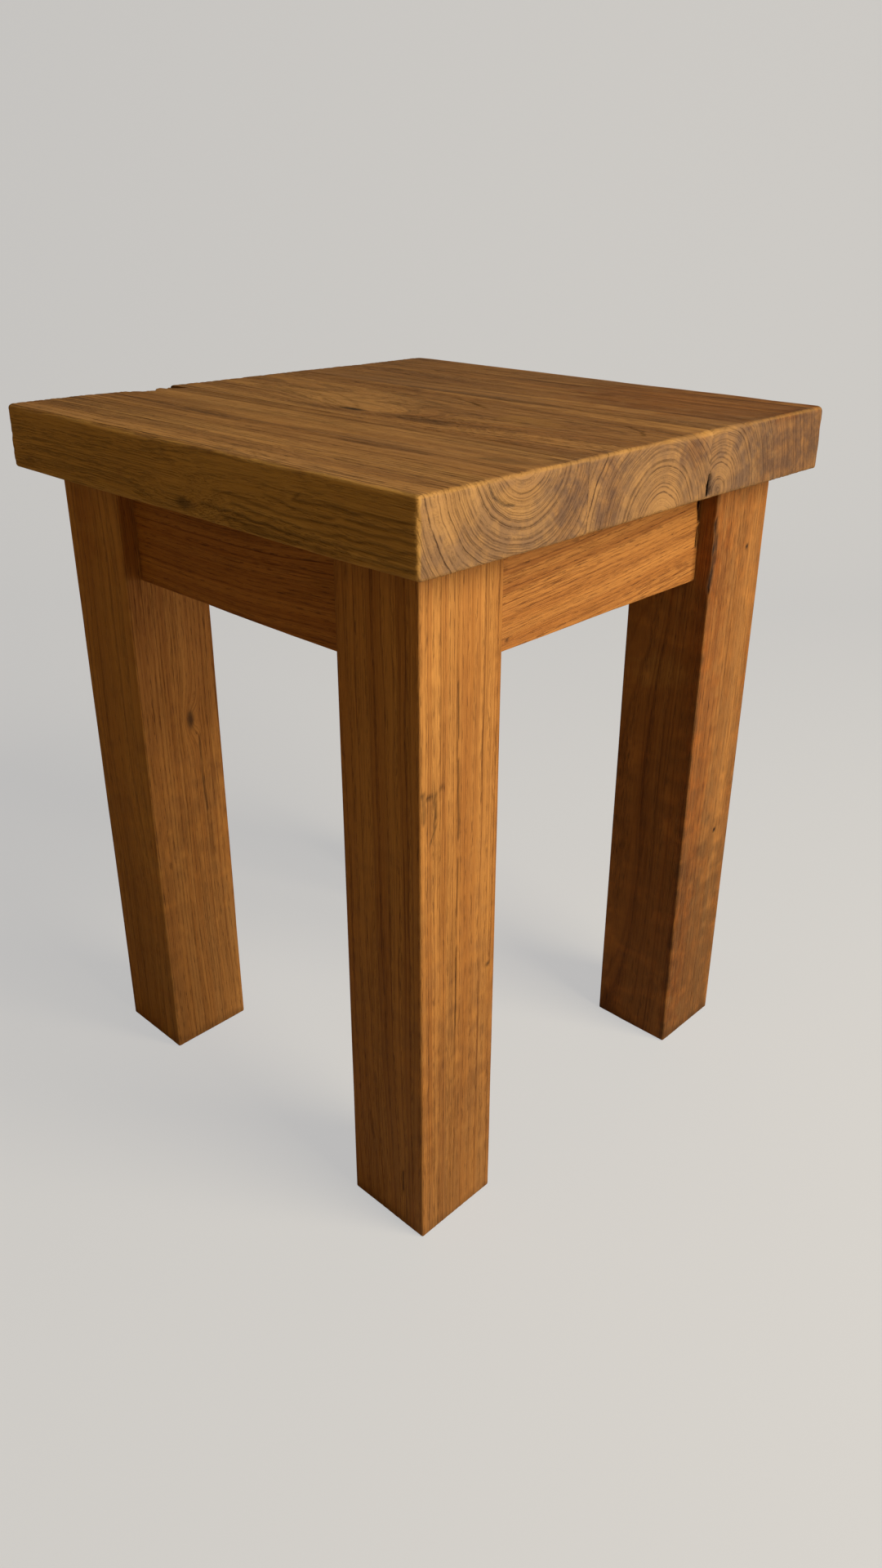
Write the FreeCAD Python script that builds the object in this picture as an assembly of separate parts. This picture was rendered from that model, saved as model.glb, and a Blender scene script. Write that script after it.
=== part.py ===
"""Square teak milking stool: three seat boards on a frame of four legs and four aprons.

Frame: +Z up, origin on the floor under the middle of the seat. The grain of the seat boards runs along X, the
boards lie side by side along Y, and the front of the stool faces -Y. All sizes are in millimetres.
"""

import FreeCAD, Part

import os

# Seat
SEAT_LENGTH = 350.0
SEAT_DEPTH = 350.0
SEAT_THICKNESS = 38.0
TOTAL_HEIGHT = 450.0
FRONT_BOARD_WIDTH = 116.0
MIDDLE_BOARD_WIDTH = 109.0
SEAT_CORNER_RADIUS = 5.0
SEAT_TOP_RADIUS = 3.0
SEAT_UNDERSIDE_RADIUS = 1.0

# Legs
LEG_SIDE = 59.0
SEAT_OVERHANG = 20.0
LEG_EDGE_RADIUS = 2.5
FOOT_EDGE_RADIUS = 2.4

# Aprons and their tenons
APRON_HEIGHT = 62.0
APRON_THICKNESS = 25.0
APRON_SETBACK = 11.0
APRON_EDGE_RADIUS = 1.5
TENON_THICKNESS = 10.0
TENON_TOP_SHOULDER = 10.0
TENON_BOTTOM_SHOULDER = 8.0
TENON_MITRE_GAP = 1.0
MORTISE_PLAY = 0.1
MORTISE_END_GAP = 1.0

# Dowels between the seat boards
DOWEL_DIAMETER = 8.0
DOWEL_LENGTH = 40.0
DOWEL_CHAMFER = 1.0
DOWEL_END_GAP = 1.0
DOWEL_SPACING = 120.0

# Corner blocks inside the frame
BLOCK_REACH = 50.0
BLOCK_TIP = 8.0
BLOCK_HEIGHT = 32.0

# Countersunk wood screws
SCREW_HEAD_RATIO = 2.0
SCREW_TIP_RATIO = 1.5
RECESS_SHARE = 0.55
RECESS_WIDTH_SHARE = 0.28
RECESS_DEPTH_SHARE = 0.4
CLEARANCE_PLAY = 0.3
COUNTERBORE_PLAY = 0.5
APRON_SCREW_DIAMETER = 4.0
APRON_SCREW_LENGTH = 30.0
APRON_SCREW_FROM_TIP = 14.0
APRON_SCREW_HEAD_DEPTH = 6.0
APRON_SCREW_COUNTERBORE = 18.0
SEAT_SCREW_DIAMETER = 4.5
SEAT_SCREW_LENGTH = 50.0

# Worked out from the above
LEG_TOP = TOTAL_HEIGHT - SEAT_THICKNESS
FRAME_HALF_X = SEAT_LENGTH / 2 - SEAT_OVERHANG
FRAME_HALF_Y = SEAT_DEPTH / 2 - SEAT_OVERHANG
FRONT_JOINT_Y = -SEAT_DEPTH / 2 + FRONT_BOARD_WIDTH
REAR_JOINT_Y = FRONT_JOINT_Y + MIDDLE_BOARD_WIDTH
APRON_BOTTOM = LEG_TOP - APRON_HEIGHT
TENON_BOTTOM = APRON_BOTTOM + TENON_BOTTOM_SHOULDER
TENON_TOP = LEG_TOP - TENON_TOP_SHOULDER
APRON_INNER = APRON_SETBACK + APRON_THICKNESS
TENON_OUTER = APRON_SETBACK + (APRON_THICKNESS - TENON_THICKNESS) / 2
TENON_INNER = TENON_OUTER + TENON_THICKNESS
BLOCK_BOTTOM = LEG_TOP - BLOCK_HEIGHT
BLOCK_END = LEG_SIDE + BLOCK_REACH
BLOCK_SLOPE_SUM = BLOCK_END + APRON_INNER + BLOCK_TIP
SEAT_SCREW_PLACE = (2 * LEG_SIDE + BLOCK_SLOPE_SUM) / 4
DOWEL_Z = TOTAL_HEIGHT - SEAT_THICKNESS / 2

# Each corner of the frame, with the signs of X and Y towards it
CORNERS = {
    "front_left": (-1, -1),
    "front_right": (1, -1),
    "rear_left": (-1, 1),
    "rear_right": (1, 1),
}

UP = FreeCAD.Vector(0, 0, 1)


def save(shape, name):
    """Writes one node's solids to its own STEP file."""
    shape.exportStep("parts/" + name + ".step")


def box_between(low, high):
    """An upright block from its lowest corner to its highest corner."""
    size = [high[k] - low[k] for k in range(3)]
    return Part.makeBox(size[0], size[1], size[2], FreeCAD.Vector(*low))


def rounded(shape, radius, wanted):
    """The shape with every edge that the test picks rounded to the radius."""
    edges = [edge for edge in shape.Edges if wanted(edge.BoundBox)]
    return shape.makeFillet(radius, edges)


def is_upright(bounds):
    """True for an edge that runs along Z."""
    return bounds.ZLength > max(bounds.XLength, bounds.YLength) + 1


def prism(points, bottom, height):
    """A plan outline, as (x, y) points, raised from the level called bottom."""
    corners = [FreeCAD.Vector(x, y, bottom) for x, y in points]
    return Part.Face(Part.makePolygon(corners + corners[:1])).extrude(UP * height)


def at_corner(corner, inward_x, inward_y):
    """The (x, y) place that lies so far inside a leg's outer X face and outer Y face."""
    sign_x, sign_y = CORNERS[corner]
    return sign_x * (FRAME_HALF_X - inward_x), sign_y * (FRAME_HALF_Y - inward_y)


def corner_prism(corner, points, bottom, height):
    """A prism whose outline is given as distances inside a leg's two outer faces."""
    return prism([at_corner(corner, u, v) for u, v in points], bottom, height)


def placed(shape, point, direction):
    """A shape that was made along +Z from the origin, moved to the point and turned to the direction."""
    moved = shape.copy()
    turn = FreeCAD.Rotation(UP, direction)
    moved.Placement = FreeCAD.Placement(point, turn)
    return moved


# ---- wood screws and dowels ---------------------------------------------------------------------------


def screw(diameter, length):
    """A countersunk wood screw along +Z, with its head's flat face at the origin and a cross recess in it."""
    radius = diameter / 2
    head_radius = radius * SCREW_HEAD_RATIO
    head_height = head_radius - radius
    tip_height = diameter * SCREW_TIP_RATIO
    shank_end = length - tip_height
    outline = [(0, 0), (head_radius, 0), (radius, head_height), (radius, shank_end), (0, length)]
    corners = [FreeCAD.Vector(x, 0, z) for x, z in outline]
    body = Part.Face(Part.makePolygon(corners + corners[:1])).revolve(FreeCAD.Vector(0, 0, 0), UP, 360)
    arm = head_radius * RECESS_SHARE
    half_width = head_radius * RECESS_WIDTH_SHARE / 2
    depth = head_radius * RECESS_DEPTH_SHARE
    along_x = box_between((-arm, -half_width, -1), (arm, half_width, depth))
    along_y = box_between((-half_width, -arm, -1), (half_width, arm, depth))
    return Part.Solid(body).cut(along_x.fuse(along_y)).Solids[0]


def screw_hole(diameter, length, through, counterbore):
    """The space a screw takes, along +Z from its head's flat face, with play round the shank over the stretch
    called through, and a counterbore of that depth behind the head."""
    radius = diameter / 2
    head_radius = radius * SCREW_HEAD_RATIO
    tip_height = diameter * SCREW_TIP_RATIO
    shank = Part.makeCylinder(radius, length - tip_height)
    tip = Part.makeCone(radius, 0, tip_height, UP * (length - tip_height))
    clearance = Part.makeCylinder(radius + CLEARANCE_PLAY, through)
    sink = Part.makeCone(head_radius, radius, head_radius - radius)
    hole = shank.fuse([tip, clearance, sink])
    if counterbore:
        hole = hole.fuse(Part.makeCylinder(head_radius + COUNTERBORE_PLAY, counterbore, UP * -counterbore))
    return hole


def apron_screw_places(corner):
    """Where a corner block's two screws start, and which way each one points: (point, direction) pairs."""
    sign_x, sign_y = CORNERS[corner]
    along = BLOCK_END - APRON_SCREW_FROM_TIP
    head = BLOCK_SLOPE_SUM - along - APRON_SCREW_HEAD_DEPTH
    level = LEG_TOP - BLOCK_HEIGHT / 2
    into_side = FreeCAD.Vector(*at_corner(corner, head, along), level)
    into_front = FreeCAD.Vector(*at_corner(corner, along, head), level)
    return [(into_side, FreeCAD.Vector(sign_x, 0, 0)), (into_front, FreeCAD.Vector(0, sign_y, 0))]


def apron_screw_hole():
    """The hole for one screw that goes through a corner block into an apron."""
    wood_over_apron = BLOCK_TIP + APRON_SCREW_FROM_TIP
    through = wood_over_apron - APRON_SCREW_HEAD_DEPTH
    return screw_hole(APRON_SCREW_DIAMETER, APRON_SCREW_LENGTH, through, APRON_SCREW_COUNTERBORE)


def seat_screw_place(corner):
    """Where the screw that goes up into the seat starts, under its corner block."""
    return FreeCAD.Vector(*at_corner(corner, SEAT_SCREW_PLACE, SEAT_SCREW_PLACE), BLOCK_BOTTOM)


def seat_screw_hole(corner):
    """The hole for the screw that goes up through a corner block into the seat."""
    hole = screw_hole(SEAT_SCREW_DIAMETER, SEAT_SCREW_LENGTH, BLOCK_HEIGHT, 0)
    return placed(hole, seat_screw_place(corner), UP)


def dowel_places(joint_y):
    """The middles of the dowels that cross one glued joint of the seat."""
    return [FreeCAD.Vector(k * DOWEL_SPACING, joint_y, DOWEL_Z) for k in (-1, 0, 1)]


def dowel(middle):
    """One dowel along Y, with its ends chamfered."""
    start = middle - FreeCAD.Vector(0, DOWEL_LENGTH / 2, 0)
    rod = Part.makeCylinder(DOWEL_DIAMETER / 2, DOWEL_LENGTH, start, FreeCAD.Vector(0, 1, 0))
    rims = [edge for edge in rod.Edges if edge.BoundBox.YLength < 1e-6]
    return rod.makeChamfer(DOWEL_CHAMFER, rims)


def dowel_hole(middle):
    """The drilled hole for one dowel, a little longer than it at each end."""
    length = DOWEL_LENGTH + 2 * DOWEL_END_GAP
    start = middle - FreeCAD.Vector(0, length / 2, 0)
    return Part.makeCylinder(DOWEL_DIAMETER / 2, length, start, FreeCAD.Vector(0, 1, 0))


# ---- the pieces of wood -------------------------------------------------------------------------------


def seat_slab():
    """The whole seat as one slab, with its outer corners and edges rounded."""
    half_x = SEAT_LENGTH / 2
    half_y = SEAT_DEPTH / 2
    slab = box_between((-half_x, -half_y, LEG_TOP), (half_x, half_y, TOTAL_HEIGHT))
    slab = rounded(slab, SEAT_CORNER_RADIUS, is_upright)
    slab = rounded(slab, SEAT_TOP_RADIUS, lambda bounds: bounds.ZMin > TOTAL_HEIGHT - 1e-6)
    return rounded(slab, SEAT_UNDERSIDE_RADIUS, lambda bounds: bounds.ZMax < LEG_TOP + 1e-6)


def seat_board(low_y, high_y):
    """The strip of the seat from low_y to high_y, drilled for its dowels and for the screws from below."""
    strip = box_between((-SEAT_LENGTH, low_y, 0), (SEAT_LENGTH, high_y, 2 * TOTAL_HEIGHT))
    board = seat_slab().common(strip)
    for joint_y in (FRONT_JOINT_Y, REAR_JOINT_Y):
        if joint_y in (low_y, high_y):
            for middle in dowel_places(joint_y):
                board = board.cut(dowel_hole(middle))
    for corner in CORNERS:
        if low_y < seat_screw_place(corner).y < high_y:
            board = board.cut(seat_screw_hole(corner))
    return board


def leg(corner):
    """One square leg with the two mortises that take its aprons' tenons."""
    low = at_corner(corner, 0, 0)
    high = at_corner(corner, LEG_SIDE, LEG_SIDE)
    lowest = (min(low[0], high[0]), min(low[1], high[1]), 0)
    highest = (max(low[0], high[0]), max(low[1], high[1]), LEG_TOP)
    post = rounded(box_between(lowest, highest), LEG_EDGE_RADIUS, is_upright)
    post = rounded(post, FOOT_EDGE_RADIUS, lambda bounds: bounds.ZMax < 1e-6)
    end = TENON_OUTER - MORTISE_END_GAP
    near = TENON_OUTER - MORTISE_PLAY
    far = TENON_INNER + MORTISE_PLAY
    outline = [(end, near), (LEG_SIDE + 1, near), (LEG_SIDE + 1, far), (end, far)]
    bottom = TENON_BOTTOM - MORTISE_PLAY
    height = TENON_TOP - TENON_BOTTOM + 2 * MORTISE_PLAY
    along_x = corner_prism(corner, outline, bottom, height)
    along_y = corner_prism(corner, [(v, u) for u, v in outline], bottom, height)
    return post.cut(along_x.fuse(along_y))


def tenon(corner, along_x):
    """The mitred tenon that enters one leg, along X for the front and rear aprons, along Y for the rest."""
    gap = TENON_MITRE_GAP / 2
    outline = [
        (LEG_SIDE, TENON_OUTER),
        (LEG_SIDE, TENON_INNER),
        (TENON_INNER + gap, TENON_INNER),
        (TENON_OUTER + gap, TENON_OUTER),
    ]
    if not along_x:
        outline = [(v, u) for u, v in outline]
    return corner_prism(corner, outline, TENON_BOTTOM, TENON_TOP - TENON_BOTTOM)


def apron(first, second, along_x):
    """The apron between two legs, with a tenon at each end and holes for the corner blocks' screws."""
    near = (LEG_SIDE, APRON_SETBACK) if along_x else (APRON_SETBACK, LEG_SIDE)
    far = (LEG_SIDE, APRON_INNER) if along_x else (APRON_INNER, LEG_SIDE)
    start = at_corner(first, *near)
    finish = at_corner(second, *far)
    lowest = (min(start[0], finish[0]), min(start[1], finish[1]), APRON_BOTTOM)
    highest = (max(start[0], finish[0]), max(start[1], finish[1]), LEG_TOP)
    rail = box_between(lowest, highest)

    def lower_long_edge(bounds):
        length = bounds.XLength if along_x else bounds.YLength
        return bounds.ZMax < APRON_BOTTOM + 1e-6 and length > APRON_THICKNESS + 1

    rail = rounded(rail, APRON_EDGE_RADIUS, lower_long_edge)
    for corner in (first, second):
        rail = rail.fuse(tenon(corner, along_x))
        into_side, into_front = apron_screw_places(corner)
        point, direction = into_front if along_x else into_side
        rail = rail.cut(placed(apron_screw_hole(), point, direction))
    return rail.removeSplitter()


def corner_block(corner):
    """The triangular block that braces one corner, notched round the leg and drilled for its three screws."""
    outline = [
        (LEG_SIDE, APRON_INNER),
        (BLOCK_END, APRON_INNER),
        (BLOCK_END, APRON_INNER + BLOCK_TIP),
        (APRON_INNER + BLOCK_TIP, BLOCK_END),
        (APRON_INNER, BLOCK_END),
        (APRON_INNER, LEG_SIDE),
        (LEG_SIDE, LEG_SIDE),
    ]
    block = corner_prism(corner, outline, BLOCK_BOTTOM, BLOCK_HEIGHT)
    for point, direction in apron_screw_places(corner):
        block = block.cut(placed(apron_screw_hole(), point, direction))
    return block.cut(seat_screw_hole(corner))


def block_screws():
    """The eight screws that hold the corner blocks to the aprons."""
    one = screw(APRON_SCREW_DIAMETER, APRON_SCREW_LENGTH)
    places = [place for corner in CORNERS for place in apron_screw_places(corner)]
    return Part.makeCompound([placed(one, point, direction) for point, direction in places])


def seat_screws():
    """The four screws that go up through the corner blocks into the seat."""
    one = screw(SEAT_SCREW_DIAMETER, SEAT_SCREW_LENGTH)
    return Part.makeCompound([placed(one, seat_screw_place(corner), UP) for corner in CORNERS])


def main():
    """Builds every node and writes it to parts/."""
    os.makedirs("parts", exist_ok=True)
    save(seat_board(-SEAT_DEPTH / 2, FRONT_JOINT_Y), "seat_board_front")
    save(seat_board(FRONT_JOINT_Y, REAR_JOINT_Y), "seat_board_middle")
    save(seat_board(REAR_JOINT_Y, SEAT_DEPTH / 2), "seat_board_rear")
    for name, joint_y in (("front", FRONT_JOINT_Y), ("rear", REAR_JOINT_Y)):
        save(Part.makeCompound([dowel(middle) for middle in dowel_places(joint_y)]), "seat_dowels_" + name)
    save(apron("front_left", "front_right", True), "apron_front")
    save(apron("rear_left", "rear_right", True), "apron_rear")
    save(apron("front_left", "rear_left", False), "apron_left")
    save(apron("front_right", "rear_right", False), "apron_right")
    for corner in CORNERS:
        save(leg(corner), "leg_" + corner)
        save(corner_block(corner), "corner_block_" + corner)
    save(block_screws(), "block_screws")
    save(seat_screws(), "seat_screws")


main()
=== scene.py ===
"""Looks of the square teak milking stool.

Three brushed seat boards lie on an oiled frame of four legs and four aprons. Corner blocks, screws and
dowels hold it together from inside. Lengths that shape the wood are in millimetres and are turned to metres
at the end.
"""

import logging
import math
from dataclasses import dataclass
from enum import Enum
from functools import partial

import bpy
import numpy as np
from mathutils import Matrix, Vector


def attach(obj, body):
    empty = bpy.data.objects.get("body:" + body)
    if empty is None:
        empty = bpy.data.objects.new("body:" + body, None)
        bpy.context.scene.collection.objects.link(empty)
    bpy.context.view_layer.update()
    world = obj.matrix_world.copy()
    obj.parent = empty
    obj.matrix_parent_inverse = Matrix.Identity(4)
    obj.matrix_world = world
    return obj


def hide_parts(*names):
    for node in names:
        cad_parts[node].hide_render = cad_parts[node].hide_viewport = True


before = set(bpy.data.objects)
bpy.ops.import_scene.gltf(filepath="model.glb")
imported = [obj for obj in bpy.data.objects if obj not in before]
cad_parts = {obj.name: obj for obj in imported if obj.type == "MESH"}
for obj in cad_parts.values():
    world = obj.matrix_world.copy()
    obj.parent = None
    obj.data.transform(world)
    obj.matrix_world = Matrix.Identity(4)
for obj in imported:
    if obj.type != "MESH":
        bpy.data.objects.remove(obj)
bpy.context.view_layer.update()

LOG = logging.getLogger("milking_stool")
MM = 0.001
ROOT = "root"
MATH = "ShaderNodeMath"
VECTOR_MATH = "ShaderNodeVectorMath"
MAP_RANGE = "ShaderNodeMapRange"
NOISE = "ShaderNodeTexNoise"
ATTRIBUTE = "ShaderNodeAttribute"
COMBINE = "ShaderNodeCombineXYZ"
MIX_SHADER = "ShaderNodeMixShader"

# Short names for the types that many methods share.
Place = tuple[float, float, float]
Tree = bpy.types.NodeTree
Node = bpy.types.Node
Socket = bpy.types.NodeSocket
Material = bpy.types.Material
Piece = bpy.types.Object

# Large primes that turn a whole-number place and a seed into a number that looks like chance.
AXIS_PRIMES = (73856093, 19349663, 83492791)
SEED_PRIME = 50331653
STIRRING_PRIMES = (1274126177, 668265263)


# ---- colours, nodes and noise -------------------------------------------------------------------------


def colour(hex_code: str) -> tuple[float, float, float, float]:
    """Turns an sRGB hex colour into linear values.

    Args:
        hex_code: Six hex digits, such as "b8763c".

    Returns:
        Red, green and blue, linear, and 1 for a solid colour.
    """
    parts = [int(hex_code[k:k + 2], 16) / 255 for k in (0, 2, 4)]
    linear = [p / 12.92 if p <= 0.04045 else ((p + 0.055) / 1.055) ** 2.4 for p in parts]
    return (linear[0], linear[1], linear[2], 1.0)


def add_node(tree: Tree, kind: str, sockets: dict | None = None, **settings: object) -> Node:
    """Adds one node, with its settings, its socket values and its links.

    Args:
        tree: The node tree that gets the node.
        kind: The node's type name.
        sockets: Input name or number to a value, or to the node or output socket that feeds it.
        **settings: The node's own properties.

    Returns:
        The new node.
    """
    node = tree.nodes.new(kind)
    for name, value in settings.items():
        setattr(node, name, value)
    for key, value in (sockets or {}).items():
        if isinstance(value, Node):
            value = value.outputs[0]
        if isinstance(value, Socket):
            tree.links.new(value, node.inputs[key])
        else:
            node.inputs[key].default_value = value
    return node


def scatter(cells: np.ndarray, seed: int) -> np.ndarray:
    """Gives each whole-number place its own repeatable number.

    Args:
        cells: Whole numbers, shape (n, 3).
        seed: Picks another set of numbers.

    Returns:
        One number from -1 to 1 for each place.
    """
    key = np.full(len(cells), seed * SEED_PRIME, np.int64)
    for axis, prime in enumerate(AXIS_PRIMES):
        key ^= cells[:, axis] * prime
    for shift, prime in zip((13, 15), STIRRING_PRIMES):
        key = ((key ^ (key >> shift)) * prime) & 0x7FFFFFFF
    return ((key >> 7) & 0xFFFF) / 32767.5 - 1


def smooth_noise(points: np.ndarray, cell: Place, seed: int) -> np.ndarray:
    """Gives soft random hills and hollows.

    Args:
        points: Places, shape (n, 3).
        cell: How far apart the hills are along each axis.
        seed: Picks another set of hills.

    Returns:
        One height from -1 to 1 for each place.
    """
    place = points / np.array(cell)
    base = np.floor(place).astype(np.int64)
    part = place - base
    part = part * part * (3 - 2 * part)
    total = np.zeros(len(points))
    for corner in np.ndindex(2, 2, 2):
        weight = np.prod(np.where(np.array(corner) == 1, part, 1 - part), axis=1)
        total += weight * scatter(base + np.array(corner), seed)
    return total


def ramp(values: np.ndarray, start: float, end: float) -> np.ndarray:
    """Rises smoothly from 0 at start to 1 at end, which may be the lower of the two."""
    t = np.clip((values - start) / (end - start), 0, 1)
    return t * t * (3 - 2 * t)


# ---- how wood grows and how it is marked --------------------------------------------------------------


class Grain(Enum):
    """The axis of the stool that a piece's grain runs along, and the two axes across it."""

    ALONG_X = (0, 1, 2)
    ALONG_Y = (1, 0, 2)
    ALONG_Z = (2, 0, 1)


class Chance(Enum):
    """The ways a piece is uneven: how far each counts on from the log's seed, and how far apart its hills are.

    The distances are in millimetres: along the grain first where the wood itself is uneven, and otherwise X, Y
    and Z.
    """

    EASING = (11, (38.0, 38.0, 38.0))
    FIBRES = (21, (60.0, 3.0, 3.0))
    BROAD_BRUSHING = (22, (160.0, 17.0, 17.0))
    BARENESS = (31, (17.0, 9.0, 9.0))
    WEATHER = (41, (90.0, 45.0, 30.0))


# The shares of a split's width within which it is at its darkest and its deepest.
DARKEST = 0.2
DEEPEST = 0.25

# The shares of a knot's radius where its dark starts and where it is full.
KNOT_EDGE = 1.5
KNOT_CORE = 0.3

# How far apart the bends of a wandering split are, in millimetres, and a distance that no split reaches.
BENDS = (9.0, 9.0, 9.0)
FAR = 1e3

# The first seed of a piece's splits and of its patches, and the step from one to the next.
SPLIT_SEEDS = (40, 5)
PATCH_SEEDS = (70, 3)

# How the rings wander: across which way, over how many millimetres, and by what share of the log's wave.
WANDERS = (
    (0, (140.0, 40.0, 40.0), 1.0),
    (1, (120.0, 40.0, 40.0), 1.0),
    (0, (48.0, 14.0, 14.0), 0.1),
    (1, (44.0, 14.0, 14.0), 0.1),
)

# Good and bad years: by how many millimetres the rings crowd, and over how many.
YEARS = ((1.9, 9.0), (0.8, 3.7))

# The shares of a ring where its soft start ends and where the next one begins.
SOFT_UNTIL = 0.42
SOFT_AGAIN = 0.86

# Rings are not followed nearer to the heart than this, in millimetres.
PITH = 0.2


@dataclass(frozen=True)
class Knot:
    """A branch inside a piece: where it meets the surface, which way it grows, and how it bends the grain.

    pull is how far the rings are drawn to the knot, or pushed away where it is negative, and reach how far
    that spreads. stretch makes both longer along the grain. dark is how dark the branch itself is, over its
    radius, and length is how deep the branch goes.
    """

    centre: Place
    growth: Place
    radius: float
    pull: float
    reach: float
    stretch: float = 2.4
    dark: float = 0.8
    length: float = 26.0


@dataclass(frozen=True)
class Log:
    """Where a piece was sawn from its log, which decides how its rings run.

    heart is where the log's middle crosses the plane across the grain at the middle of the stool, and lean is
    how far it moves across for each millimetre along the grain. ring is the distance between two rings and
    wave how far they wander, both in millimetres.
    """

    grain: Grain
    heart: tuple[float, float]
    lean: tuple[float, float]
    ring: float
    wave: float
    seed: int
    knots: tuple[Knot, ...] = ()

    def places_in_wood(self, points: np.ndarray) -> np.ndarray:
        """Works out where each point lies in the growing tree.

        Args:
            points: Places on the stool in millimetres, shape (n, 3).

        Returns:
            Along the grain and two distances across it from the heart, with the rings at equal steps.
        """
        along, first, second = self.grain.value
        g = points[:, along]
        across = points[:, (first, second)] - np.array(self.heart) - g[:, None] * np.array(self.lean)
        slow = np.stack([g, points[:, first], points[:, second]], axis=1)
        for number, (way, cell, share) in enumerate(WANDERS):
            across[:, way] += share * self.wave * smooth_noise(slow, cell, self.seed + number)
        radius = np.maximum(np.hypot(across[:, 0], across[:, 1]), PITH)
        bent = radius.copy()
        for knot in self.knots:
            bent -= knot.pull * np.exp(-self.knot_distance(points, knot) ** 2)
        bent = np.maximum(bent, PITH)
        uneven = bent
        for number, (crowding, span) in enumerate(YEARS, start=1):
            uneven = uneven + crowding * np.sin(bent / span + number * self.seed)
        across *= (np.maximum(uneven, PITH / 2) / radius)[:, None]
        return np.column_stack([g, across])

    def knot_distance(self, points: np.ndarray, knot: Knot) -> np.ndarray:
        """Gives each point's distance from a knot's middle line, as a share of the knot's reach.

        Args:
            points: Places on the stool in millimetres, shape (n, 3).
            knot: The knot.

        Returns:
            One share for each point.
        """
        growth = np.array(knot.growth) / np.linalg.norm(knot.growth)
        offset = points - np.array(knot.centre)
        forward = offset @ growth
        offset = offset - np.outer(forward, growth)
        offset[:, self.grain.value[0]] /= knot.stretch
        behind = np.maximum(-forward - knot.length, 0)
        return (np.linalg.norm(offset, axis=1) + behind) / knot.reach

    def ring_groove(self, wood: np.ndarray) -> np.ndarray:
        """Gives 1 in the soft start of each ring, which brushing wears away, and 0 between."""
        phase = np.mod(np.hypot(wood[:, 1], wood[:, 2]) / self.ring, 1.0)
        return ramp(phase, SOFT_UNTIL, 0.0) + ramp(phase, SOFT_AGAIN, 1.0)


@dataclass(frozen=True)
class Split:
    """A crack, nick or scratch along a line of points, with its width and depth.

    dirt is how dark it is, bare how far it shows fresh wood, and blur how far either spreads.
    """

    points: tuple[Place, ...]
    width: float
    depth: float
    dirt: float = 1.0
    blur: float = 1.6
    wander: float = 0.0
    bare: float = 0.0

    def closeness(self, points: np.ndarray, seed: int) -> np.ndarray:
        """Gives each point's distance from the line in millimetres, with the line wandering a little.

        Args:
            points: Places on the stool in millimetres, shape (n, 3).
            seed: Picks the way that the line wanders.

        Returns:
            One distance for each point.
        """
        moved = points
        if self.wander:
            shift = [self.wander * smooth_noise(points, BENDS, seed + k) for k in range(3)]
            moved = points + np.stack(shift, axis=1)
        nearest = np.full(len(points), FAR)
        for start, end in zip(self.points[:-1], self.points[1:]):
            a = np.array(start)
            line = np.array(end) - a
            t = np.clip((moved - a) @ line / (line @ line), 0, 1)
            nearest = np.minimum(nearest, np.linalg.norm(moved - a - t[:, None] * line, axis=1))
        return nearest


@dataclass(frozen=True)
class Patch:
    """A soft-edged area that is darker, barer, more weathered, or redder or paler than the rest. Most are real
    stains, wear and weathering; some are painted shade or painted light on single faces, or low on the legs.
    """

    centre: Place
    reach: Place
    stain_and_shade: float = 0.0
    bare: float = 0.0
    hue: float = 0.0
    weather: float = 0.0

    def share(self, points: np.ndarray, seed: int) -> np.ndarray:
        """Gives 1 in the middle of the area, falling to 0 with a ragged edge.

        Args:
            points: Places on the stool in millimetres, shape (n, 3).
            seed: Picks the shape of the ragged edge.

        Returns:
            One share for each point.
        """
        offset = (points - np.array(self.centre)) / np.array(self.reach)
        ragged = 0.35 * smooth_noise(points, (14, 7, 7), seed)
        ragged += 0.2 * smooth_noise(points, (5, 3, 3), seed + 1)
        return ramp(np.linalg.norm(offset, axis=1) + ragged, 1.1, 0.45)


# ---- one piece of wood --------------------------------------------------------------------------------

# How the grid lines close up: in shares of an eased edge, and in millimetres on either side of a fine line.
EDGE_STEPS = (0.0, 0.1, 0.25, 0.45, 0.7, 1.0)
LINE_STEPS = (-1.2, -0.7, -0.35, 0.0, 0.35, 0.7, 1.2)
LINE_GAP = 1.3


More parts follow.
